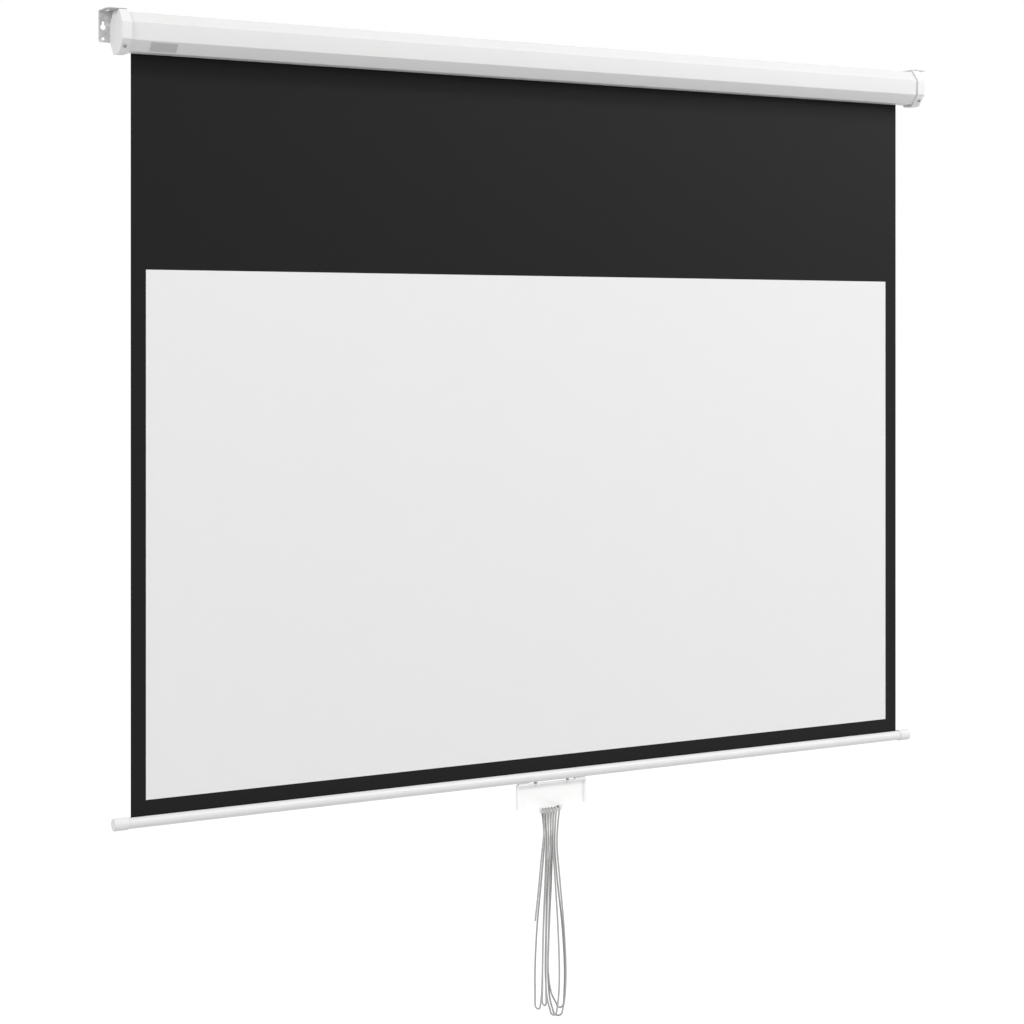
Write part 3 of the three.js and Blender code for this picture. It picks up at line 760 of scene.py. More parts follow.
@dataclass(frozen=True)
class MouldedPlastic(Finish):
    """Moulded plastic with a fine spark-eroded grain. Grains a metre."""

    tones: Pair = (0.975, 1.02)
    depth: float = 0.02 * MM
    strength: float = 0.5
    gloss: float = 0.4
    grain: float = 2600.0
    flow: Triple = (12.0, 30.0, 30.0)

    def dress(self, graph: Graph) -> Material:
        """Fine grain, and slow flow patches in the tone.

        Args:
            graph: the material's nodes.

        Returns:
            The material.
        """
        place = graph.place()
        grain = graph.noise(place, self.grain)
        flow = graph.noise(graph.stretched(place, self.flow), 1.0)
        return self.surface(graph, flow, grain, grain)


@dataclass(frozen=True)
class ZincSheet(Finish):
    """Zinc-plated sheet, mottled by its crystals and by handling. Grains a metre."""

    tones: Pair = (0.72, 1.24)
    below: float = 0.1
    swing: float = 0.22
    depth: float = 0.02 * MM
    strength: float = 0.5
    metal: float = 0.45
    spangle: float = 260.0
    bloom: float = 240.0
    crystal_share: float = 0.35

    def dress(self, graph: Graph) -> Material:
        """Crystals of differing tone and gloss, under a dull bloom.

        Args:
            graph: the material's nodes.

        Returns:
            The material.
        """
        place = graph.place()
        inputs = {"Vector": place, "Scale": self.spangle}
        cells = graph.node("ShaderNodeTexVoronoi", {"feature": "F1"}, inputs, "Color")
        crystal = graph.node("ShaderNodeSeparateXYZ", inputs={0: cells})
        bloom = graph.noise(place, self.bloom, 5.0)
        mottle = mixed(crystal, bloom, self.crystal_share)
        return self.surface(graph, mottle, bloom, mottle)


@dataclass(frozen=True)
class TurnedMetal(Finish):
    """Drawn or turned metal with fine marks along or round it. Grains a metre."""

    tones: Pair = (0.8, 1.15)
    below: float = 0.06
    swing: float = 0.16
    metal: float = 0.95
    marks: Triple = (4.0, 1800.0, 1800.0)
    stains: float = 60.0
    mark_share: float = 0.6

    def dress(self, graph: Graph) -> Material:
        """Fine marks in tone, gloss and normal, and stains in the tone.

        Args:
            graph: the material's nodes.

        Returns:
            The material.
        """
        place = graph.place()
        marks = graph.noise(graph.stretched(place, self.marks), 1.0, 3.0)
        stains = graph.noise(place, self.stains, 3.0)
        return self.surface(graph, mixed(marks, stains, self.mark_share), marks, marks)


@dataclass(frozen=True)
class CoatedCloth(Finish):
    """Tight woven cloth under a thin coat: threads both ways and a soft mottle. Grains a metre."""

    below: float = 0.06
    depth: float = 0.06 * MM
    strength: float = 0.6
    gloss: float = 0.2
    thread: float = 1700.0
    run: float = 160.0
    cloud: float = 5.0
    warp_share: float = 0.5
    weave_share: float = 0.55

    def dress(self, graph: Graph) -> Material:
        """Warp and weft in the normal and, faintly, in the tone.

        Args:
            graph: the material's nodes.

        Returns:
            The material.
        """
        place = graph.place()
        warp = graph.noise(graph.stretched(place, (self.thread, 1.0, self.run)), 1.0)
        weft = graph.noise(graph.stretched(place, (self.run, 1.0, self.thread)), 1.0)
        weave = mixed(warp, weft, self.warp_share)
        cloud = graph.noise(place, self.cloud, 3.0)
        return self.surface(graph, mixed(weave, cloud, self.weave_share), weave, weave)


@dataclass(frozen=True)
class BraidedCord(Finish):
    """Round braided cord: strands cross in both directions, with painted shade darkening the
    valleys between them.
    """

    # The darker tone is painted shade in the braid's valleys; the fibres add a random tone.
    tones: Pair = (0.78, 1.12)
    depth: float = 0.2 * MM
    strength: float = 0.8
    gloss: float = 0.15
    fuzz: float = 0.9
    strands: int = 6
    lay: float = 9 * MM
    fibres: float = 3000.0
    braid_share: float = 0.8

    def dress(self, graph: Graph) -> Material:
        """Two sets of strands round the cord, and loose fibres along it; the colour paints shade
        into the valleys.

        Args:
            graph: the material's nodes.

        Returns:
            The material.
        """
        around, along = graph.around_and_along()
        turns = TURN * self.strands * around
        rise = TURN / self.lay * along
        right = (turns + rise).wave()
        left = (turns - rise).wave()
        braid = (right * right).over(left * left)
        fibres = graph.noise(graph.place(), self.fibres, 3.0)
        height = mixed(braid, fibres, self.braid_share)
        # The colour follows the height: painted shade in the valleys between the strands, random
        # tone from the fibres.
        return self.surface(graph, height, fibres, height)


@dataclass(frozen=True)
class BrushedFoil(Finish):
    """A blank foil plate, brushed along its length. Grains a metre."""

    tones: Pair = (0.9, 1.08)
    swing: float = 0.12
    strength: float = 0.3
    brush: Triple = (30.0, 2600.0, 2600.0)

    def dress(self, graph: Graph) -> Material:
        """Long fine brush lines."""
        lines = graph.noise(graph.stretched(graph.place(), self.brush), 1.0, 3.0)
        return self.surface(graph, lines, lines, lines)


CASE_PAINT = PowderCoat("satin_white_coat", "case_paint", (0.703, 0.703, 0.7), 0.45)
BAR_PAINT = PowderCoat("satin_white_bar_coat", "case_paint", (0.73, 0.73, 0.727), 0.4)
CAP_PLASTIC = MouldedPlastic("white_cap_moulding", "cap_plastic", (0.75, 0.75, 0.747), 0.5)
HANDLE_PLASTIC = MouldedPlastic("white_handle_moulding", "handle_plastic", (0.95, 0.95, 0.945), 0.4)
ZINC = ZincSheet("mottled_zinc", "bracket_steel", (0.6, 0.6, 0.6), 0.48)
DARK_ZINC = TurnedMetal(
    "dark_zinc", "screw_steel", (0.34, 0.345, 0.35), 0.3, marks=(600.0, 600.0, 600.0)
)
LABEL_FOIL = BrushedFoil("blank_grey_foil", "label_foil", (0.475, 0.475, 0.48), 0.4)
ALUMINIUM = TurnedMetal("drawn_aluminium", "roller_aluminium", (0.7, 0.71, 0.72), 0.35)
BRIGHT_STEEL = TurnedMetal("bright_zinc_steel", "spindle_steel", (0.6, 0.61, 0.62), 0.3)
SPRING_STEEL = TurnedMetal("oiled_spring_steel", "spring_steel", (0.2, 0.2, 0.21), 0.3)
GREY_PLASTIC = MouldedPlastic("grey_moulding", "plug_plastic", (0.28, 0.28, 0.29), 0.5)
BLACK_CLOTH = CoatedCloth(
    "black_cloth_weave", "black_cloth", (0.0024, 0.0024, 0.0025), 0.5,
    tones=(0.75, 1.25), gloss=0.18,
)
WHITE_CLOTH = CoatedCloth(
    "white_picture_coat", "white_cloth", (0.775, 0.775, 0.775), 0.8, tones=(0.992, 1.008)
)
CORD_YARN = BraidedCord("grey_braid", "cord_yarn", (0.44, 0.44, 0.434), 0.8)


def present(piece: Object, finish: Finish, body: Body, *nodes: str) -> Object:
    """Dresses a finished piece and gives it to its body.

    Args:
        piece: the mesh object, in place.
        finish: its surface.
        body: what it moves with.
        nodes: the frame nodes that it stands for.

    Returns:
        The piece.
    """
    piece.data.materials.clear()
    piece.data.materials.append(finish.material())
    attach(piece, body.value)
    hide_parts(*nodes)
    log.info("%s: %d faces on %s", piece.name, len(piece.data.polygons), body.value)
    return piece


def keep_node(node: str, finish: Finish) -> None:
    """Leaves a frame node in place and gives it its finish.

    Args:
        node: its name.
        finish: what it is made of.
    """
    for entry in frame["nodes"][node].material_slots:
        entry.material = finish.material()
    log.info("%s: kept from the frame", node)


# The cord


@dataclass(frozen=True)
class Loop:
    """One loop of the hank, in millimetres: its front and back strands at the belly, its tip and
    half the tip's width, how far it lies before and behind the strip, its drop and its strands'
    bows."""

    front: float
    back: float
    tip: float
    half: float
    depth: float
    drop: float
    front_bow: float
    back_bow: float

    @property
    def radius(self) -> float:
        """The radius of the loop's foot."""
        return math.hypot(self.half, self.depth)

    @property
    def fall(self) -> float:
        """How far its strands fall before the foot."""
        return self.drop - self.radius


@dataclass
class PullCord:
    """Braided pull cord, hung on the handle's tab in a hank of five loops with a free tail.

    Sizes in millimetres. The tail's points are places along X and drops.
    """

    diameter: float = 3.8
    bend: float = 7.6
    pitch: float = 7.8
    first: float = 17.5
    knot_offset: float = 4.5
    seat_gap: float = 0.3
    sheet: float = 1.5
    waist_share: float = 0.16
    draw_share: float = 0.33
    belly_share: float = 0.86
    strand_shares: tuple[float, ...] = (0, 0.05, 0.16, 0.34, 0.6, 0.82, 0.94)
    foot_steps: int = 6
    top_steps: int = 4
    loops: tuple[Loop, ...] = (
        Loop(34.6, -2, 18, 7.5, 7.6, 449, 1.25, 1.5),
        Loop(34, -4.4, 24, 7.2, 2.6, 432, 1.5, 1.6),
        Loop(17.8, -8.5, 7, 3.5, 7.6, 446.5, 1.15, 1.15),
        Loop(-16.5, -16, -16.4, 0.6, 7.6, 422, 0.8, 1.5),
        Loop(-25.2, -35.2, -32.7, 2, 7.6, 427, 1, 1.4),
    )
    tail: tuple[Pair, ...] = (
        (-21.5, 0), (-21, 8), (-20.6, 16), (-21.5, 41), (-26, 78),
        (-30.2, 115), (-33.8, 151), (-39.8, 200), (-43.4, 229),
    )
    step: float = 2.5
    sides: int = 12
    knot_lobes: int = 3
    knot_steps: int = 96
    knot_thick: float = 0.42
    knot_reach: float = 3.0
    knot_depth: float = 1.6
    route: list[Vector] = field(default_factory=list)

    @property
    def handle_y(self) -> float:
        """The middle of the handle's back plate, in millimetres."""
        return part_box("pull_handle")[1].y / MM - self.sheet / 2

    @property
    def bend_z(self) -> float:
        """The height that the loops bend about, with the knot's middle at the top of the bend."""
        low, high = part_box("cord_knot")
        return (low.z + high.z) / 2 / MM - self.bend

    def across(self, top: float, belly: float, tip: float, share: float, bow: float) -> float:
        """How far across a strand lies: in to the waist, out to the belly and in to the tip.

        Args:
            top: where it starts on the strip.
            belly: where it bellies out to.
            tip: where it ends at the foot.
            share: the share of its fall.
            bow: how late it bellies out.

        Returns:
            Its place along X, in millimetres.
        """
        waist = top * (1 - self.draw_share)
        if share < self.waist_share:
            return top + (waist - top) * math.sin(QUARTER * share / self.waist_share)
        if share < self.belly_share:
            along = (share - self.waist_share) / (self.belly_share - self.waist_share)
            return waist + (belly - waist) * math.sin(QUARTER * along) ** bow
        rest = (share - self.belly_share) / (1 - self.belly_share)
        return belly + (tip - belly) * (1 - math.cos(QUARTER * rest))

    def over_strip(
        self, start: float, end: float, angle: float, steps: int
    ) -> list[Triple]:
        """The cord's way over the tab's strip to its front.

        Args:
            start: where it starts along X.
            end: where it ends along X.
            angle: where it starts round the strip.
            steps: how many points it has.

        Returns:
            The points, without the last.
        """
        points = []
        for share in steps_to(1.0, steps)[:-1]:
            turn = angle + (math.pi - angle) * share
            lift = (self.bend * math.cos(turn), self.bend * math.sin(turn))
            points.append((start + (end - start) * share, *lift))
        return points

    def loop_points(
        self, loop: Loop, front_top: float, back_top: float
    ) -> list[Triple]:
        """One loop: down its front strand, round its foot and up its back strand.

        Args:
            loop: its sizes.
            front_top: where its front strand starts along X.
            back_top: where its back strand ends along X.

        Returns:
            Its points.
        """

        def strand(
            top: float, belly: float, tip: float, side: int, share: float, bow: float
        ) -> Triple:
            """A point of one strand, behind the strip or before it."""
            depth = self.bend + (loop.depth - self.bend) * math.sin(QUARTER * share)
            return self.across(top, belly, tip, share, bow), side * depth, -loop.fall * share

        front_foot, back_foot = loop.tip + loop.half, loop.tip - loop.half
        points = [
            strand(front_top, loop.front, front_foot, -1, share, loop.front_bow)
            for share in self.strand_shares
        ]
        for angle in steps_to(math.pi, self.foot_steps)[:-1]:
            drop = loop.fall + loop.radius * math.sin(angle)
            across, depth = loop.half * math.cos(angle), loop.depth * math.cos(angle)
            points.append((loop.tip + across, -depth, -drop))
        return points + [
            strand(back_top, loop.back, back_foot, 1, share, loop.back_bow)
            for share in (1.0, *reversed(self.strand_shares[1:]))
        ]

    def lay_route(self) -> None:
        """Works out the cord's route in metres, from the knot to the tail's cut end."""
        start = self.first + self.knot_offset
        points = [(start, self.sheet / 2 + self.seat_gap, self.bend)]
        points += self.over_strip(start, self.first, QUARTER, self.top_steps // 2)
        for i, loop in enumerate(self.loops):
            front_top = self.first - i * self.pitch
            back_top = front_top - self.pitch / 2
            points += self.loop_points(loop, front_top, back_top)
            points += self.over_strip(back_top, front_top - self.pitch, 0, self.top_steps)
        start = self.diameter + self.seat_gap
        points += [(x, -self.bend, -drop - (start if drop else 0)) for x, drop in self.tail]
        raised = [Vector((x, self.handle_y + y, self.bend_z + z)) * MM for x, y, z in points]
        self.route = smooth_route(raised, self.step * MM)

    def build(self) -> None:
        self.lay_route()
        radius = self.diameter * MM / 2
        cord = tube("pull_cord", self.route, radius, self.sides)
        present(cord, CORD_YARN, Body.BAR, "cord_hank", "cord_tail")
        knot = self.build_knot()
        length = sum((b - a).length for a, b in zip(self.route, self.route[1:]))
        log.info("cord: %.3f m", length)

    def build_knot(self) -> Object:
        """A tight three-lobed stopper knot behind the tab.

        Returns:
            The knot.
        """
        low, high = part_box("cord_knot")
        reach = (high.x - low.x) / 2
        thick = self.diameter * MM * self.knot_thick
        lobe = (reach - thick) / self.knot_reach
        points = []
        for t in steps_to(TURN, self.knot_steps):
            x = math.sin(t) + 2 * math.sin(2 * t)
            y = self.knot_depth * math.sin(self.knot_lobes * t)
            z = math.cos(t) - 2 * math.cos(2 * t)
            points.append(middle_of("cord_knot") + lobe * Vector((x, y, z)))
        knot = tube("stopper_knot", points, thick, self.sides)
        return present(knot, CORD_YARN, Body.BAR, "cord_knot")


def smooth_route(points: Sequence[Vector], step: float) -> list[Vector]:
    """A smooth curve through points, with a point every step or so.

    Args:
        points: the points that it passes through.
        step: the distance between its points.

    Returns:
        The curve's points.
    """
    ends = [2 * points[0] - points[1], *points, 2 * points[-1] - points[-2]]
    route: list[Vector] = []
    for p0, p1, p2, p3 in zip(ends, ends[1:], ends[2:], ends[3:]):
        t1 = (p1 - p0).length ** 0.5
        t2 = t1 + (p2 - p1).length ** 0.5
        t3 = t2 + (p3 - p2).length ** 0.5
        count = max(1, round((p2 - p1).length / step))
        for k in range(count):
            t = t1 + (t2 - t1) * k / count
            a = p0.lerp(p1, t / t1)
            b = p1.lerp(p2, (t - t1) / (t2 - t1))
            c = p2.lerp(p3, (t - t2) / (t3 - t2))
            d = b.lerp(c, (t - t1) / (t3 - t1))
            route.append(a.lerp(b, t / t2).lerp(d, (t - t1) / (t2 - t1)))
    return [*route, points[-1].copy()]


def tube(name: str, route: Sequence[Vector], radius: float, sides: int) -> Object:
    """A round tube along a route, with a UV map of the way round and the metres along it.

    Args:
        name: the piece's name.
        route: its centre line.
        radius: its radius.
        sides: how many flats go round it.

    Returns:
        A closed mesh object.
    """
    points: list[Vector] = []
    run = [0.0]
    normal = Vector((1, 0, 0))
    for i, here in enumerate(route):
        before, after = route[max(i - 1, 0)], route[min(i + 1, len(route) - 1)]
        tangent = (after - before).normalized()
        normal = (normal - tangent * normal.dot(tangent)).normalized()
        binormal = tangent.cross(normal)
        for k in range(sides):
            angle = TURN * k / sides
            points.append(here + radius * (math.cos(angle) * normal + math.sin(angle) * binormal))
        run.append(run[-1] + (after - here).length)
    last = (len(route) - 1) * sides
    first_end, last_end = tuple(reversed(range(sides))), tuple(range(last, last + sides))
    maps: list[Pair] = [(k / sides, 0.0) for k in first_end]
    for i in range(len(route) - 1):
        for k in range(sides):
            u, v = k / sides, (k + 1) / sides
            maps += [(u, run[i]), (v, run[i]), (v, run[i + 1]), (u, run[i + 1])]
    maps += [(k / sides, run[-2]) for k in range(sides)]
    mesh = bpy.data.meshes.new(name)
    faces = [first_end, *ring_faces(len(route), sides), last_end]
    mesh.from_pydata([tuple(p) for p in points], [], faces)
    layer = mesh.uv_layers.new(name="braid")
    layer.data.foreach_set("uv", [value for pair in maps for value in pair])
    return smoothed(shown(name, mesh), 60)


# The cloth


@dataclass
class ScreenCloth:
    """The black cloth, its white picture surface, its hem and the last turns on the roller.

    Each wave of the ripple has its share, its swings a metre along X and Z, and its start.
    """

    travel: float = 1.493
    lap: float = 3 * MM
    lap_gap: float = 0.02 * MM
    hem_wall: float = 0.8 * MM
    hem_steps: int = 28
    bore_sides: int = 32
    columns: int = 96
    rows: int = 72
    ripple: float = 0.12 * MM
    waves: tuple[tuple[float, ...], ...] = ((1.0, 7.0, 0.0, 1.3), (0.6, 17.0, -2.4, 0.0))
    turns: int = 2
    turn_steps: int = 64
    turn_gap: float = 0.05 * MM
    turn_fill: float = 0.94

    def waved(self, x: float, z: float, whole: Pair) -> float:
        """How far the hanging cloth stands off its plane; nothing at its top and foot.

        Args:
            x: the place across.
            z: the place up.
            whole: the heights of the whole cloth's foot and top.

        Returns:
            The distance along Y.
        """
        share = (z - whole[0]) / (whole[1] - whole[0])
        held = math.sin(math.pi * min(1.0, max(0.0, share)))
        swing = sum(size * math.sin(a * x + b * z + c) for size, a, b, c in self.waves)
        return self.ripple * held * swing

    def slab(self, node: str, whole: Pair) -> Mesh:
        """A thin closed slab in a node's box that follows the cloth's gentle ripple.

        Args:
            node: the node.
            whole: the heights of the whole cloth's foot and top.

        Returns:
            The mesh.
        """
        low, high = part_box(node)
        rings = []
        for i in range(self.columns + 1):
            x = low.x + (high.x - low.x) * i / self.columns
            ring = []
            for y, order in ((low.y, range(self.rows + 1)), (high.y, range(self.rows, -1, -1))):
                for k in order:
                    z = low.z + (high.z - low.z) * k / self.rows
                    ring.append(Vector((x, y + self.waved(x, z, whole), z)))
            rings.append(ring)
        return self.sheet_from(node, rings)

    def sheet_from(self, name: str, rings: list[list[Vector]]) -> Mesh:
        """A closed mesh over a slab's rings, its two ends closed by strips of quads.

        Args:
            name: the mesh's name.
            rings: the rings, each there and back across the slab.

        Returns:
            The mesh.
        """
        count = len(rings[0])
        strips = [
            (start + k, start + k + 1, start + count - 2 - k, start + count - 1 - k)
            for start in (0, (len(rings) - 1) * count) for k in range(count // 2 - 1)
        ]
        return skinned(name, rings, last=strips)

    def build_hanging(self) -> None:
        """The free cloth and its picture surface, each with its own mesh, given to the bar's body.
        """
        low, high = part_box("screen_cloth")
        for node, name, finish in (
            ("screen_cloth", "black_screen_cloth", BLACK_CLOTH),
            ("picture_surface", "white_picture_area", WHITE_CLOTH),
        ):
            piece = smoothed(shown(name, self.slab(node, (low.z, high.z))), 30)
            present(piece, finish, Body.BAR, node)
            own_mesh(piece)
        hem = self.build_hem()

    def build_hem(self) -> Object:
        """The bottom border: a lap behind the cloth's foot, and the hem round the rod in the bar.

        Returns:
            The hem.
        """
        low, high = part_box("hem_border")
        cloth_low, cloth_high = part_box("screen_cloth")
        centre = middle_of("hem_rod")
        half = (cloth_high.y - cloth_low.y) / 2
        outer = (high.y - low.y) / 2
        inner = outer - self.hem_wall
        neck = math.asin(half / outer)
        front, back, lap_y = centre.y - half, centre.y + half, centre.y + 2 * half
        foot = centre.z + outer * math.cos(neck)
        top = cloth_low.z - self.lap_gap
        lap_top, lap_foot = cloth_low.z + self.lap, cloth_low.z - self.lap
        section = [
            (front, top), (back, top), (back, lap_top), (lap_y, lap_top),
            (lap_y, lap_foot), (back, lap_foot), (back, foot),
        ]
        round_rod = (QUARTER - neck, -3 * QUARTER + neck, self.hem_steps)
        section += arc((centre.y, centre.z), outer, *round_rod)[1:]
        section.append((front, foot))
        name = "hem_border_strip"
        hem = smoothed(shown(name, loft(name, drawn_out(section, (low.x, high.x)))))
        rod_hole = [(0, -1.0), (inner, -1.0), (inner, 1.0), (0, 1.0)]
        bore = lathe("hem_bore", rod_hole, self.bore_sides)
        along = Matrix.Rotation(QUARTER, 4, "Y")
        bore.transform(Matrix.Translation(Vector((0, centre.y, centre.z))) @ along)
        combined(hem, [bore])
        return present(hem, BLACK_CLOTH, Body.BAR, "hem_border")

    def build_wound(self) -> None:
        """The last turns of cloth, wound in a spiral on the roller."""
        low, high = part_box("cloth_wrap")
        tube_low, tube_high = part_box("roller_tube")
        centre = middle_of("cloth_wrap")
        outer = (high.z - low.z) / 2
        inner = (tube_high.z - tube_low.z) / 2 + self.turn_gap
        thick = (outer - inner) / (self.turns + 1)
        steps = self.turns * self.turn_steps
        section = []
        there, back = range(steps + 1), range(steps, -1, -1)
        for lift, order in ((thick * self.turn_fill, there), (0.0, back)):
            for k in order:
                angle = TURN * k / self.turn_steps
                radius = inner + thick * k / self.turn_steps + lift
                y, z = radius * math.cos(angle), radius * math.sin(angle)
                section.append((centre.y + y, centre.z + z))
        name = "wound_cloth"
        wound = smoothed(shown(name, self.sheet_from(name, drawn_out(section, (low.x, high.x)))))
        present(wound, BLACK_CLOTH, Body.ROLLER, "cloth_wrap")

    def build(self) -> None:
        """Makes every piece of cloth."""
        self.build_wound()
        self.build_hanging()


# Screws, and what is swept or coiled, by Geometry Nodes


@dataclass(frozen=True)
class Screw:
    """A screw in metres: its head's radius and height, its shank's radius and its length."""

    head: float
    height: float
    shank: float
    length: float


@dataclass
class Hardware:
    """Screws, each made once and set in its seat by Geometry Nodes.

    The valley and the tip are shares of the shank, the edge and the rim of a pan head's height. A
    cross has its reach and width as shares of the head's radius and its depth of its height.
    """

    pitch: float = 0.7 * MM
    valley: float = 0.8
    tip: float = 0.5
    flat_edge: float = 0.1 * MM
    edge_share: float = 0.35
    rim_share: float = 0.4
    dome_steps: int = 6
    dome_power: float = 0.8
    pan_cross: Triple = (0.62, 0.3, 0.75)
    sunk_cross: Triple = (0.6, 0.26, 0.9)
    cross_foot: float = 0.35
    cross_taper: float = 0.4
    sides: int = 32
    recipe: Recipe = field(init=False)

    def __post_init__(self) -> None:
        """Builds the tree that sets a screw on a seat along a direction."""
        kinds = {"Screw": "NodeSocketObject", "Direction": "NodeSocketVector"}
        self.recipe = make = Recipe("seated_screw", kinds)
        along, given = {"Vector": make.given("Direction")}, {"Object": make.given("Screw")}
        turn = make.node("FunctionNodeAlignRotationToVector", {"axis": "Z"}, along)
        screw = make.node("GeometryNodeObjectInfo", inputs=given, output="Geometry")
        seats = make.node("GeometryNodeMeshToPoints", inputs={"Mesh": make.given("Geometry")})
        placed = {"Points": seats, "Instance": screw, "Rotation": turn}
        make.close(make.node("GeometryNodeInstanceOnPoints", inputs=placed))

    def cross_cutter(self, reach: float, width: float, top: float, depth: float) -> list[Mesh]:
        """Two tapered blades that cut a cross recess into a head.

        Args:
            reach: half a blade's length at the top.
            width: its thickness there.
            top: the head's height.
            depth: how deep the recess is.

        Returns:
            The blades.
        """
        blades = []
        for turn in (0.0, QUARTER):
            rings = []
            for size, height in ((self.cross_foot, top - depth), (1.0, top), (1.0, top + depth)):
                half = reach * size
                thin = width / 2 * (1 - self.cross_taper + self.cross_taper * size)
                corners = ((-half, -thin), (half, -thin), (half, thin), (-half, thin))
                rings.append([Vector((x, y, height)) for x, y in corners])
            blades.append(loft("blade", rings))
            blades[-1].transform(Matrix.Rotation(turn, 4, "Z"))
        return blades

    def pan_screw(self, name: str, size: Screw) -> Object:
        """A pan-head screw with a cross recess, its seat at height zero.

        Args:
            name: its name.
            size: its sizes.

        Returns:
            A mesh object.
        """
        edge = size.height * self.edge_share / 2
        rim = size.height * self.rim_share
        profile = [(size.shank, 0), (size.head - edge, 0), (size.head, edge), (size.head, rim)]
        for angle in steps_to(QUARTER, self.dome_steps)[1:-1]:
            rise = self.rim_share + (1 - self.rim_share) * math.sin(angle)
            profile.append((size.head * math.cos(angle) ** self.dome_power, size.height * rise))
        profile.append((0, size.height))
        return self.turned_screw(name, size, size.length, profile, self.pan_cross)

    def sunk_screw(self, name: str, size: Screw) -> Object:
        """A countersunk screw with a cross recess, its flat head at height zero.

        Args:
            name: its name.
            size: its sizes.

        Returns:
            A mesh object.
        """
        edge, rim = self.flat_edge, size.head - self.flat_edge
        profile = [
            (size.shank, -size.height), (rim, -1.5 * edge), (size.head, -edge), (rim, 0), (0, 0)
        ]
        return self.turned_screw(name, size, size.length - size.height, profile, self.sunk_cross)

    def turned_screw(
        self, name: str, size: Screw, threaded: float, profile: list[Pair], cross: Triple
    ) -> Object:
        """Turns a screw and cuts its recess.

        Args:
            name: its name.
            size: its sizes.
            threaded: how far its thread is worked out along the shank.
            profile: radius and height of its head's points, from the shank up.
            cross: its cross's shares.

        Returns:
            A mesh object.
        """
        shank = [(0, -size.length), (size.shank * self.tip, -size.length + size.shank)]
        mesh = lathe(name, [*shank, *self.thread(size.shank, threaded), *profile], self.sides)
        reach, width, depth = cross
        blades = self.cross_cutter(
            size.head * reach, size.head * width, profile[-1][1], size.height * depth
        )
        return smoothed(combined(shown(name, mesh), blades), 30)

    def thread(self, shank: float, length: float) -> list[Pair]:
        """Ridges along a shank, from the tip up.

        Args:
            shank: its radius.
            length: its length.

        Returns:
            Radius and height of each point.
        """
        ridges = []
        for k in range(int((length - 2 * shank) / self.pitch)):
            foot = -length + shank + k * self.pitch
            ridges += [(shank * self.valley, foot), (shank, foot + self.pitch / 2)]
        return ridges

    def seat(
        self, screw: Object, name: str, place: Vector, direction: Vector, finish: Finish, body: Body
    ) -> None:
        """Sets one screw in its seat and gives it to its body.

        Args:
            screw: the screw to set.
            name: the frame node that it stands for.
            place: the middle of its seat.
            direction: the way that its head faces.
            finish: its surface.
            body: what it moves with.
        """
        point = bpy.data.meshes.new(name)
        point.from_pydata([tuple(place)], [], [])
        values = {"Screw": screw, "Direction": tuple(direction), "Finish": finish.material()}
        present(smoothed(self.recipe.make(f"{name}_piece", point, values), 30), finish, body, name)


class Sweep:
    """Straight sections swept along +X by Geometry Nodes, with rounded corners."""

    def __init__(self) -> None:
        """Builds the tree: an outline with its corners rounded, drawn out both ways."""
        kinds = {"Half length": "NodeSocketFloat", "Corner steps": "NodeSocketInt"}
        self.recipe = make = Recipe("swept_section", kinds)
        outline = make.node("GeometryNodeMeshToCurve", inputs={0: make.given("Geometry")})
        kind, corner = {"data_type": "FLOAT"}, {"Name": "corner"}
        radius = make.node("GeometryNodeInputNamedAttribute", kind, corner)
        rounded = make.node(
            "GeometryNodeFilletCurve", {"mode": "POLY"},
            {
                "Curve": outline, "Count": make.given("Corner steps"), "Radius": radius,
                "Limit Radius": True,
            },
        )
        half = make.given("Half length")
        start = make.node("ShaderNodeCombineXYZ", inputs={"Z": half * -1.0})
        end = make.node("ShaderNodeCombineXYZ", inputs={"Z": half})
        line = make.node("GeometryNodeCurvePrimitiveLine", inputs={"Start": start, "End": end})
        swept = {"Curve": line, "Profile Curve": rounded, "Fill Caps": True}
        solid = make.node("GeometryNodeCurveToMesh", inputs=swept)
        turned = {"Geometry": solid, "Rotation": (QUARTER, 0.0, QUARTER)}
        make.close(make.node("GeometryNodeTransform", inputs=turned))

    def make(
        self, name: str, section: Sequence[Triple], half: float, steps: int, finish: Finish
    ) -> Object:
        """Sweeps one section.

        Args:
            name: the piece's name.
            section: y, z and corner radius of each point, in order round the outline.
            half: half the piece's length.
            steps: the points put in at each corner.
            finish: its surface.

        Returns:
            The closed mesh object.
        """
        outline = bpy.data.meshes.new(name)
        edges = [(k, (k + 1) % len(section)) for k in range(len(section))]
        outline.from_pydata([(y, z, 0) for y, z, _ in section], edges, [])
        corner = outline.attributes.new("corner", "FLOAT", "POINT")
        corner.data.foreach_set("value", [radius for _, _, radius in section])
        values = {"Half length": half, "Corner steps": steps, "Finish": finish.material()}
        made = self.recipe.make(name, outline, values)
        cleaned(made.data)
        return smoothed(made, 20)


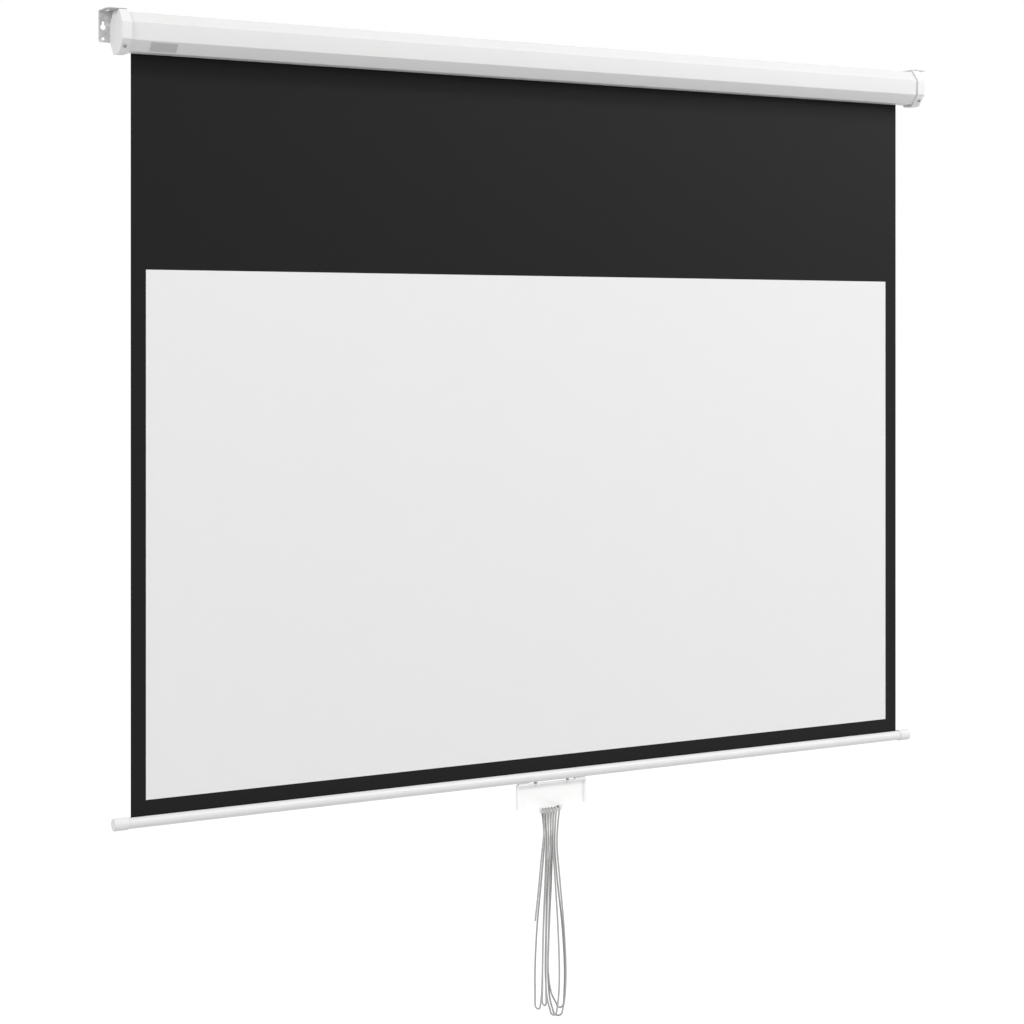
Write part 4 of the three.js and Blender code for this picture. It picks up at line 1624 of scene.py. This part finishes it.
@dataclass
class Coil:
    """A close-wound spring along +X, by Geometry Nodes."""

    turn_steps: int = 14
    wire_sides: int = 6
    turn_pitch: float = 1.02
    wire_share: float = 0.97
    recipe: Recipe = field(init=False)

    def __post_init__(self) -> None:
        """Builds the tree: a spiral of even radius with a round wire."""
        sizes = ("Turns", "Radius", "Length", "Wire radius")
        kinds = {**dict.fromkeys(sizes, "NodeSocketFloat"), "Place": "NodeSocketVector"}
        self.recipe = make = Recipe("wound_spring", kinds)
        turns, radius, length, wire = (make.given(label) for label in sizes)
        way = {
            "Resolution": self.turn_steps, "Rotations": turns,
            "Start Radius": radius, "End Radius": radius, "Height": length,
        }
        ring = {"Resolution": self.wire_sides, "Radius": wire}
        solid = {
            "Curve": make.node("GeometryNodeCurveSpiral", inputs=way),
            "Profile Curve": make.node("GeometryNodeCurvePrimitiveCircle", inputs=ring),
            "Fill Caps": True,
        }
        placed = {
            "Geometry": make.node("GeometryNodeCurveToMesh", inputs=solid),
            "Translation": make.given("Place"),
            "Rotation": (0.0, QUARTER, 0.0),
        }
        make.close(make.node("GeometryNodeTransform", inputs=placed))

    def make(self, name: str, node: str, wire: float, finish: Finish) -> Object:
        """Winds a spring into a node's box.

        Args:
            name: the piece's name.
            node: the node.
            wire: the wire's diameter.
            finish: its surface.

        Returns:
            The closed mesh object.
        """
        low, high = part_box(node)
        length = high.x - low.x - wire
        values = {
            "Turns": float(int(length / (wire * self.turn_pitch))),
            "Radius": (high.z - low.z) / 2 - wire / 2, "Length": length,
            "Wire radius": wire / 2 * self.wire_share,
            "Place": (low.x + wire / 2, *middle_of(node).yz), "Finish": finish.material(),
        }
        return smoothed(self.recipe.make(name, bpy.data.meshes.new(name), values), 60)


# The housing


@dataclass
class Housing:
    """The case, its end caps, brackets, screws and blank plate. Sizes in millimetres."""

    sweep: Sweep
    hardware: Hardware
    case: EightSided = EightSided(32.7, 38.5, 34.4, 30.0, 1.6)
    cap: EightSided = EightSided(36.5, 43.2, 33.6, 31.6, 2.0)
    wall: float = 1.2
    slot_width: float = 14.5
    slot_lip: float = 0.25
    bend_steps: int = 4
    cap_plate: float = 3.0
    cap_edge: float = 0.9
    cap_edge_steps: int = 4
    rim_edge: float = 0.3
    seat_gap: float = 0.3
    seat_edge: float = 0.2
    boss_radius: float = 11.0
    boss_length: float = 9.0
    boss_root: float = 1.0
    boss_edge: float = 0.4
    boss_sides: int = 48
    bore_depth: float = 20.0
    tongue_half_thickness: float = 1.8
    tongue_half_width: float = 4.3
    cap_screw: Screw = Screw(3.8 * MM, 2.4 * MM, 1.75 * MM, 10.0 * MM)
    bracket_screw: Screw = Screw(3.6 * MM, 1.2 * MM, 1.6 * MM, 9.5 * MM)
    label_size: Triple = (55.0, 20.0, 0.5)
    label_corner: float = 1.5
    label_corner_steps: int = 5
    label_edge: float = 0.12

    @property
    def axis(self) -> Vector:
        """The roller's axis, from the frame's joint."""
        spin = next(j for j in frame["joints"] if j["name"] == "roller_spin")
        return Vector(spin["pos_m"])

    def inner_corner(self, points: list[Vector], i: int) -> Vector:
        """An outline's corner, moved in by the wall.

        Args:
            points: the outline's corners.
            i: which corner.

        Returns:
            The inner corner.
        """
        at = points[i]
        before = (at - points[i - 1]).normalized()
        after = (points[(i + 1) % len(points)] - at).normalized()
        across = Vector((-before.y, before.x)) + Vector((-after.y, after.x))
        return at + across * (2 * self.wall / across.length_squared)

    def case_section(self) -> list[Triple]:
        """The case's outline with the cloth slot in its lower back slope.

        Returns:
            y, z and corner radius of each point, in metres.
        """
        outer = self.case.corners()
        inner = [self.inner_corner(outer, i) for i in range(len(outer))]
        front = self.case.bottom_flat / 2
        back, lip = front + self.slot_width, self.slot_lip

        def on_slope(points: list[Vector], y: float) -> Triple:
            """A lip on the lower back slope, which runs between the corners 3 and 4."""
            share = (y - points[3].x) / (points[4].x - points[3].x)
            return y, points[3].y + (points[4].y - points[3].y) * share, lip

        outline = [on_slope(outer, back)]
        outline += [(*outer[i], self.case.corner) for i in (4, 5, 6, 7, 0, 1, 2)]
        outline += [(*outer[3], lip), on_slope(inner, front)]
        outline += [(*inner[i], self.case.corner / 2) for i in (2, 1, 0, 7, 6, 5, 4)]
        outline.append(on_slope(inner, back))
        return [(self.axis.y + y * MM, self.axis.z + z * MM, r * MM) for y, z, r in outline]

    def build_case(self) -> None:
        """The case, one long folded section."""
        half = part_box("case_shell")[1].x
        case = self.sweep.make("case_body", self.case_section(), half, self.bend_steps, CASE_PAINT)
        present(case, CASE_PAINT, Body.CASE, "case_shell")

    def ring(self, section: EightSided, x: float) -> list[Vector]:
        """A section's outline about the roller's axis, at a place along X."""
        axis = self.axis
        return [Vector((x, axis.y + p.x * MM, axis.z + p.y * MM)) for p in section.outline()]

    def build_cap(self, side: Side) -> None:
        """An end cap: plate, rim and the boss that carries the roller's end.

        Args:
            side: the cap's end.
        """
        node = f"end_cap_{side.word}"
        low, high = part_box(node)
        outer, rim = (high.x, low.x) if side is Side.RIGHT else (-low.x, -high.x)
        floor = outer - self.cap_plate * MM
        sections = []
        for angle in steps_to(QUARTER, self.cap_edge_steps):
            inset = self.cap_edge * (1 - math.sin(angle))
            back = self.cap_edge * MM * (1 - math.cos(angle))
            sections.append((self.cap.grown(-inset), outer - back))
        seat, mouth = (self.case.grown(self.seat_gap + by) for by in (0, self.seat_edge))
        sections += [
            (self.cap, rim + self.rim_edge * MM), (self.cap.grown(-self.rim_edge), rim),
            (mouth, rim), (seat, rim + self.seat_edge * MM), (seat, floor),
        ]
        rings = [self.ring(section, side.value * x) for section, x in sections]
        cap = shown(f"{node}_moulding", loft(node, rings))
        boss_sizes = (self.boss_radius, self.boss_length, self.boss_root, self.boss_edge)
        radius, length, root, edge = (size * MM for size in boss_sizes)
        profile = [
            (0, -root), (radius, -root), (radius, length - edge),
            (radius - edge, length), (0, length),
        ]
        boss = lathe("boss", profile, self.boss_sides)
        place = Vector((side.value * floor, self.axis.y, self.axis.z))
        boss.transform(Matrix.Translation(place) @ Matrix.Rotation(-side.value * QUARTER, 4, "Y"))
        combined(cap, [boss], "UNION")
        combined(cap, [self.boss_cutter(side, floor)])
        present(smoothed(cap, 25), CAP_PLASTIC, Body.CASE, node)

    def boss_cutter(self, side: Side, floor: float) -> Mesh:
        """What is cut from the boss: a slot for the spindle's tongue, or a bore for the bush.

        Args:
            side: the cap's end.
            floor: how far from the middle the cap's plate starts.

        Returns:
            The cutter.
        """
        depth = self.bore_depth * MM
        if side is Side.RIGHT:
            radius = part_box("idle_bush")[1].y - self.axis.y + self.seat_gap * MM
            profile = [(0, 0), (radius, 0), (radius, depth), (0, depth)]
            mesh = lathe("bore", profile, self.boss_sides)
            place = Vector((floor, self.axis.y, self.axis.z))
            mesh.transform(Matrix.Translation(place) @ Matrix.Rotation(-QUARTER, 4, "Y"))
            return mesh
        thin, wide = self.tongue_half_thickness * MM, self.tongue_half_width * MM
        ring = [
            (self.axis.y + y, self.axis.z + z)
            for y, z in ((-thin, -wide), (thin, -wide), (thin, wide), (-thin, wide))
        ]
        return loft("slot", drawn_out(ring, (-floor, -floor + depth)))

    def build_screws(self) -> None:
        """The cap screws, and the two screws that hold each bracket."""
        pan = self.hardware.pan_screw("pan_screw", self.cap_screw)
        sunk = self.hardware.sunk_screw("sunk_screw", self.bracket_screw)
        slope = self.cap.slope_normal()
        out = (self.cap.slope_middle() + slope * self.seat_gap) * MM
        for side in Side:
            node = f"bracket_top_screw_{side.word}"
            x, top = middle_of(node).x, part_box(node)[1].z
            place = Vector((x, self.axis.y + out.y, self.axis.z + out.z))
            self.hardware.seat(pan, f"cap_screw_{side.word}", place, slope, DARK_ZINC, Body.CASE)
            above, behind = Vector((x, self.axis.y, top)), Vector((x, 0, self.axis.z))
            self.hardware.seat(sunk, node, above, UP, ZINC, Body.CASE)
            back = f"bracket_back_screw_{side.word}"
            self.hardware.seat(sunk, back, behind, Vector((0, 1, 0)), ZINC, Body.CASE)
        for screw in (pan, sunk):
            bpy.data.objects.remove(screw)

    def build_label(self) -> None:
        """The blank plate on the case's lower front slope."""
        length, width, thick = (size * MM for size in self.label_size)
        radius = self.label_corner * MM
        outline = []
        for x, y, start in ((1, 1, 0), (-1, 1, 1), (-1, -1, 2), (1, -1, 3)):
            centre = (x * (length / 2 - radius), y * (width / 2 - radius))
            angles = (start * QUARTER, (start + 1) * QUARTER)
            outline += arc(centre, radius, *angles, self.label_corner_steps)
        label = plate("blank_plate", outline, [], thick, self.label_edge * MM)
        out, along = self.case.slope_normal(), Vector((1, 0, 0))
        turn = Matrix((along, -along.cross(out), out)).transposed().to_4x4()
        label.data.transform(Matrix.Translation(middle_of("label_plate")) @ turn)
        cleaned(label.data)
        present(smoothed(label), LABEL_FOIL, Body.CASE, "label_plate")

    def build(self) -> None:
        """Makes the housing's pieces."""
        self.build_case()
        for side in Side:
            self.build_cap(side)
            Bracket(side, self.axis.z).build()
        self.build_screws()
        self.build_label()


@dataclass
class Bracket:
    """A bracket folded from one flat sheet, with its keyhole, round hole and slot.

    Sizes in millimetres, apart from the axis's height.
    """

    side: Side
    axis_z: float
    sheet: float = 1.5
    bend: float = 1.2
    bend_steps: int = 6
    half_round_steps: int = 12
    entry_steps: int = 28
    keyhole_from_edge: float = 9.0
    neck: float = 2.6
    entry: float = 5.5
    entry_drop: float = 9.3
    hole: float = 3.2
    hole_drop: float = 32.0
    slot_from_edge: float = 13.5
    slot_radius: float = 3.0
    slot_length: float = 18.0
    slot_from_wall: float = 17.0
    corner: float = 4.5
    corner_steps: int = 6
    screw_hole: float = 3.75
    edge: float = 0.25

    @property
    def outer_bend(self) -> float:
        """The radius of the fold's outer face."""
        return self.bend + self.sheet

    def flat_place(self, from_wall: float, top: float) -> float:
        """Where a place on the ceiling flange, so far from the wall, lies in the flat pattern."""
        return top - self.outer_bend + self.outer_bend * QUARTER + (from_wall - self.outer_bend)

    def keyhole(self, x: float) -> list[Pair]:
        """The keyhole's outline: a round entry with a narrower neck above it.

        Args:
            x: its place along X.

        Returns:
            The outline's points.
        """
        lift = math.acos(self.neck / self.entry)
        neck = arc((x, 0), self.neck, 0, math.pi, self.half_round_steps)
        below = (x, -self.entry_drop)
        return neck + arc(below, self.entry, math.pi - lift, TURN + lift, self.entry_steps)

    def slot(self, x: float, y: float) -> list[Pair]:
        """The slot's outline about its middle.

        Args:
            x: its middle along X.
            y: its middle in the flat pattern.

        Returns:
            The outline's points.
        """
        reach, radius = self.slot_length / 2 - self.slot_radius, self.slot_radius
        ends = (((x, y + reach), 0, math.pi), ((x, y - reach), math.pi, TURN))
        near, far = (arc(at, radius, *angles, self.half_round_steps) for at, *angles in ends)
        return near + far

    def build(self) -> None:
        """Cuts the flat pattern, folds it and sets it on its end of the case."""
        word, toward = self.side.word, self.side.value
        node = f"wall_bracket_{word}"
        low, high = (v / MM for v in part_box(node))
        inner, outer = (low.x, high.x) if self.side is Side.RIGHT else (high.x, low.x)
        top, foot, end = high.z, low.z, self.flat_place(-low.y, high.z)
        rounds = [
            (self.corner * (1 - math.sin(a)), self.corner * (1 - math.cos(a)))
            for a in steps_to(QUARTER, self.corner_steps)
        ]
        outline = [
            (inner, foot),
            *((outer - toward * across, foot + up) for across, up in rounds),
            *((outer - toward * across, end - down) for down, across in rounds),
            (inner, end),
        ]
        hole_x = outer - toward * self.keyhole_from_edge
        slot_x = outer - toward * self.slot_from_edge
        screw_x = middle_of(f"bracket_back_screw_{word}").x / MM
        screw_y = -middle_of(f"bracket_top_screw_{word}").y / MM
        holes = [
            self.keyhole(hole_x),
            circle((hole_x, -self.hole_drop), self.hole),
            self.slot(slot_x, self.flat_place(self.slot_from_wall, top)),
            circle((screw_x, self.axis_z / MM), self.screw_hole),
            circle((screw_x, self.flat_place(screw_y, top)), self.screw_hole),
        ]
        cuts = [scaled(hole) for hole in holes]
        piece = plate(f"{node}_sheet", scaled(outline), cuts, self.sheet * MM, self.edge * MM)
        self.fold(piece.data, top)
        present(smoothed(piece, 30), ZINC, Body.CASE, node)

    def fold(self, mesh: Mesh, top: float) -> None:
        """Folds the flat sheet: what lies above the bend turns forward as the ceiling flange.

        Args:
            mesh: the flat sheet.
            top: the height of the flange's upper face.
        """
        start, radius = (top - self.outer_bend) * MM, self.outer_bend * MM
        bent = radius * QUARTER
        with opened(mesh) as work:
            for along in steps_to(bent, self.bend_steps):
                cut = [*work.verts, *work.edges, *work.faces]
                at = {"plane_co": (0, start + along, 0), "plane_no": (0, 1, 0)}
                bmesh.ops.bisect_plane(work, geom=cut, dist=WELD, **at)
            for vertex in work.verts:
                x, s, depth = vertex.co.x, vertex.co.y, vertex.co.z + self.sheet * MM / 2
                if s <= start:
                    vertex.co = (x, -depth, s)
                elif s < start + bent:
                    angle, reach = (s - start) / radius, radius - depth
                    ahead, up = reach * math.cos(angle), reach * math.sin(angle)
                    vertex.co = (x, -radius + ahead, start + up)
                else:
                    vertex.co = (x, -radius - (s - start - bent), top * MM - depth)
            bmesh.ops.recalc_face_normals(work, faces=work.faces)


# The roller and its spring


@dataclass
class RollerDrive:
    """The roller tube, its plugs, spring, spindle, ratchet and pawls. All lie inside the case."""

    coil: Coil
    wire: float = 2.2 * MM
    edge: float = 0.25 * MM

    def build(self) -> None:
        """Winds the spring, rounds the ratchet's stampings and dresses what stays of the frame."""
        spring = self.coil.make("wound_torsion_spring", "torsion_spring", self.wire, SPRING_STEEL)
        present(spring, SPRING_STEEL, Body.ROLLER, "torsion_spring")
        keep_node("roller_tube", ALUMINIUM)
        for node in ("spring_end_plug", "idle_end_plug", "spring_anchor", "idle_bush"):
            keep_node(node, GREY_PLASTIC)
        for node in ("spring_spindle", "idle_pin", "pawl_pin_a", "pawl_pin_b"):
            keep_node(node, BRIGHT_STEEL)
        stampings = {"ratchet_wheel": Body.CASE, "pawl_a": Body.PAWL_A, "pawl_b": Body.PAWL_B}
        for node, body in stampings.items():
            present(softened(node, f"{node}_stamping", self.edge), SPRING_STEEL, body, node)


# The weight bar and the handle


@dataclass
class WeightBar:
    """The slotted tube along the cloth's foot and its two caps. Sizes in millimetres."""

    sweep: Sweep
    wall: float = 1.2
    slot: float = 3.0
    slot_lip: float = 0.25
    lip_steps: int = 3
    facets: int = 72
    cap_end: float = 3.0
    cap_round: float = 2.6
    cap_lip: float = 0.5
    cap_gap: float = 0.3
    cap_round_steps: int = 8
    cap_sides: int = 64

    def section(self) -> list[Triple]:
        """The tube's outline, open at the top for the cloth.

        Returns:
            y, z and corner radius of each point, in metres.
        """
        low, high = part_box("weight_bar")
        outer = (high.y - low.y) / 2
        outline = []
        for radius, turn in ((outer, 1), (outer - self.wall * MM, -1)):
            gap = math.asin(self.slot * MM / 2 / radius)
            angles = (QUARTER + gap, 5 * QUARTER - gap)
            around = arc(middle_of("weight_bar").yz, radius, *angles, self.facets)
            for k, (y, z) in enumerate(around[::turn]):
                outline.append((y, z, self.slot_lip * MM if k in (0, self.facets) else 0.0))
        return outline

    def build_cap(self, side: Side) -> None:
        """A push-on cap with a rounded end and a thin lip at its mouth.

        Args:
            side: the cap's end.
        """
        node = f"bar_cap_{side.word}"
        low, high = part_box(node)
        bar_low, bar_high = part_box("weight_bar")
        radius, length = (high.z - low.z) / 2, high.x - low.x
        bore = (bar_high.y - bar_low.y) / 2 + self.cap_gap * MM
        round_off, lip = self.cap_round * MM, self.cap_lip * MM
        floor = length - self.cap_end * MM
        centre = (radius - round_off, length - round_off)
        profile = [
            (0, floor), (bore, floor), (bore, lip), (bore + lip, 0),
            (radius - lip, 0), (radius, lip),
            *arc(centre, round_off, 0, QUARTER, self.cap_round_steps),
            (0, length),
        ]
        mesh = lathe(node, profile, self.cap_sides)
        mouth = Vector((low.x if side is Side.RIGHT else high.x, *middle_of(node).yz))
        mesh.transform(Matrix.Translation(mouth) @ Matrix.Rotation(side.value * QUARTER, 4, "Y"))
        cap = smoothed(shown(f"{node}_moulding", cleaned(mesh)), 30)
        present(cap, CAP_PLASTIC, Body.BAR, node)

    def build(self) -> None:
        """Makes the bar and its caps, and dresses the rod in the hem."""
        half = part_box("weight_bar")[1].x
        bar = self.sweep.make("weight_bar_tube", self.section(), half, self.lip_steps, BAR_PAINT)
        present(bar, BAR_PAINT, Body.BAR, "weight_bar")
        for side in Side:
            self.build_cap(side)
        keep_node("hem_rod", BRIGHT_STEEL)


@dataclass
class PullHandle:
    """The open-fronted tray under the bar, its screws and spacers."""

    hardware: Hardware
    screw: Screw = Screw(3.2 * MM, 1.4 * MM, 1.9 * MM, 12.0 * MM)
    edge: float = 0.3 * MM
    spacer_gap: float = 0.3 * MM

    def build(self) -> None:
        """Makes the tray, the two screws and the two spacers."""
        tray = softened("pull_handle", "handle_tray", self.edge)
        present(tray, HANDLE_PLASTIC, Body.BAR, "pull_handle")
        screw = self.hardware.pan_screw("handle_pan_screw", self.screw)
        for side in Side:
            node = f"handle_screw_{side.word}"
            seat = Vector((*middle_of(node).xy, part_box(node)[0].z + self.screw.height))
            self.hardware.seat(screw, node, seat, -UP, DARK_ZINC, Body.BAR)
            self.build_spacer(side)
        bpy.data.objects.remove(screw)

    def build_spacer(self, side: Side) -> None:
        """A short turned sleeve between the bar and the tray.

        Args:
            side: which of the two.
        """
        node = f"handle_spacer_{side.word}"
        low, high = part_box(node)
        height, radius = high.z - low.z, (high.x - low.x) / 2
        bore, edge = self.screw.shank + self.spacer_gap, self.edge
        profile = (
            (bore, 0), (radius - edge, 0), (radius, edge), (radius, height - edge),
            (radius - edge, height), (bore, height), (bore, 0),
        )
        rings = [[Vector((x, y, h)) for x, y in circle((0, 0), r)] for r, h in profile]
        mesh = skinned(node, rings)
        mesh.transform(Matrix.Translation((*middle_of(node).xy, low.z)))
        present(smoothed(shown(f"{node}_sleeve", mesh)), DARK_ZINC, Body.BAR, node)


# The studio


@dataclass(frozen=True)
class Lamp:
    """A soft rectangular lamp: its place, what it looks at, its size and its power in watts."""

    name: str
    place: Triple
    target: Triple
    size: Pair
    power: float


@dataclass
class Studio:
    """Camera, lamps, sky and floor."""

    camera_place: Triple = (-2.4501, -4.1325, -0.6192)
    camera_turn: float = -29.73
    lens: float = 77.17
    shift: float = -0.1694
    floor_z: float = -2.36
    floor_half: float = 30.0
    sky_low: float = 0.45
    sky_high: float = 0.66
    floor_bounce: float = 0.745
    floor_tone: float = 0.4
    floor_glow: float = 0.78
    lamps: tuple[Lamp, ...] = (
        Lamp("right_key", (3.6, -4.4, 4.3), (0.2, 0.0, -0.6), (1.3, 1.3), 230.0),
        Lamp("left_key", (-1.9, -3.2, 4.4), (-0.4, 0.0, -0.6), (0.5, 0.5), 42.0),
        Lamp("right_soft", (5.4, -4.4, 1.6), (0.4, 0.0, -0.4), (2.2, 2.2), 75.0),
        Lamp("left_fill", (-5.6, -1.6, 1.4), (-0.8, 0.0, -0.4), (1.3, 1.3), 100.0),
    )

    def set_camera(self) -> None:
        """The camera at the photograph's place."""
        data = bpy.data.cameras.new("camera")
        data.lens = self.lens
        data.sensor_width = 36.0
        data.shift_y = self.shift
        data.clip_end = 100.0
        camera = bpy.data.objects.new("camera", data)
        camera.location = self.camera_place
        camera.rotation_euler = (QUARTER, 0.0, math.radians(self.camera_turn))
        bpy.context.scene.collection.objects.link(camera)
        bpy.context.scene.camera = camera

    def seen(self, maker: NodeMaker) -> Wire:
        """1 for rays from the camera and for those that metal or glass sends on, else 0.

        Args:
            maker: the tree to work in.

        Returns:
            The value.
        """
        rays = maker.node("ShaderNodeLightPath", output="Is Camera Ray")
        others = rays.socket.node.outputs
        glossy = Wire(maker, others["Is Glossy Ray"])
        through = Wire(maker, others["Is Transmission Ray"])
        return rays.over(glossy).over(through)

    def set_sky(self) -> None:
        """A sky that is white to look at and lights more from above."""
        world = bpy.data.worlds.new("sky")
        bpy.context.scene.world = world
        world.use_nodes = True
        maker = NodeMaker(world.node_tree)
        maker.tree.nodes.clear()
        seen = self.seen(maker)
        direction = maker.node("ShaderNodeTexCoord", output="Generated")
        height = maker.node("ShaderNodeSeparateXYZ", inputs={0: direction}, output="Z")
        light = self.sky_low + (self.sky_high - self.sky_low) * height.over(0.0)
        strength = seen + (1 - seen) * light
        sky = {"Color": WHITE, "Strength": strength}
        maker.end("ShaderNodeOutputWorld", maker.node("ShaderNodeBackground", inputs=sky))

    def set_floor(self) -> None:
        """A pale floor that is white to look at, keeps a soft shadow and throws little light up."""
        half = self.floor_half
        corners = ((-half, -half), (half, -half), (half, half), (-half, half))
        mesh = bpy.data.meshes.new("floor")
        mesh.from_pydata([(x, y, self.floor_z) for x, y in corners], [], [(0, 1, 2, 3)])
        graph = Graph("pale_floor")
        seen = self.seen(graph)
        dull, lit = (
            graph.node("ShaderNodeBsdfDiffuse", inputs={"Color": (tone, tone, tone, 1)})
            for tone in (self.floor_bounce, self.floor_tone)
        )
        inputs = {"Color": WHITE, "Strength": self.floor_glow}
        glow = graph.node("ShaderNodeEmission", inputs=inputs)
        bright = graph.node("ShaderNodeAddShader", inputs={0: lit, 1: glow})
        shown_floor = graph.node("ShaderNodeMixShader", inputs={0: seen, 1: dull, 2: bright})
        graph.end("ShaderNodeOutputMaterial", shown_floor)
        mesh.materials.append(graph.material)
        shown("floor", mesh)

    def set_lamps(self) -> None:
        """The soft lamps."""
        for lamp in self.lamps:
            data = bpy.data.lights.new(lamp.name, "AREA")
            data.shape = "RECTANGLE"
            data.size, data.size_y = lamp.size
            data.energy = lamp.power
            made = bpy.data.objects.new(lamp.name, data)
            made.location = lamp.place
            look = Vector(lamp.target) - Vector(lamp.place)
            made.rotation_euler = look.to_track_quat("-Z", "Y").to_euler()
            bpy.context.scene.collection.objects.link(made)

    def build(self) -> None:
        """Sets the studio, apart from the camera."""
        bpy.context.scene.view_settings.view_transform = "Standard"
        self.set_sky()
        self.set_floor()
        self.set_lamps()


def main() -> None:
    """Builds the camera and the cord, then every sub-assembly, and reports each piece."""
    logging.basicConfig(level=logging.INFO, format="%(name)s: %(message)s")
    studio = Studio()
    studio.set_camera()
    PullCord().build()
    ScreenCloth().build()
    hardware = Hardware()
    sweep = Sweep()
    Housing(sweep, hardware).build()
    RollerDrive(Coil()).build()
    WeightBar(sweep).build()
    PullHandle(hardware).build()
    studio.build()


if __name__ == "__main__":
    main()
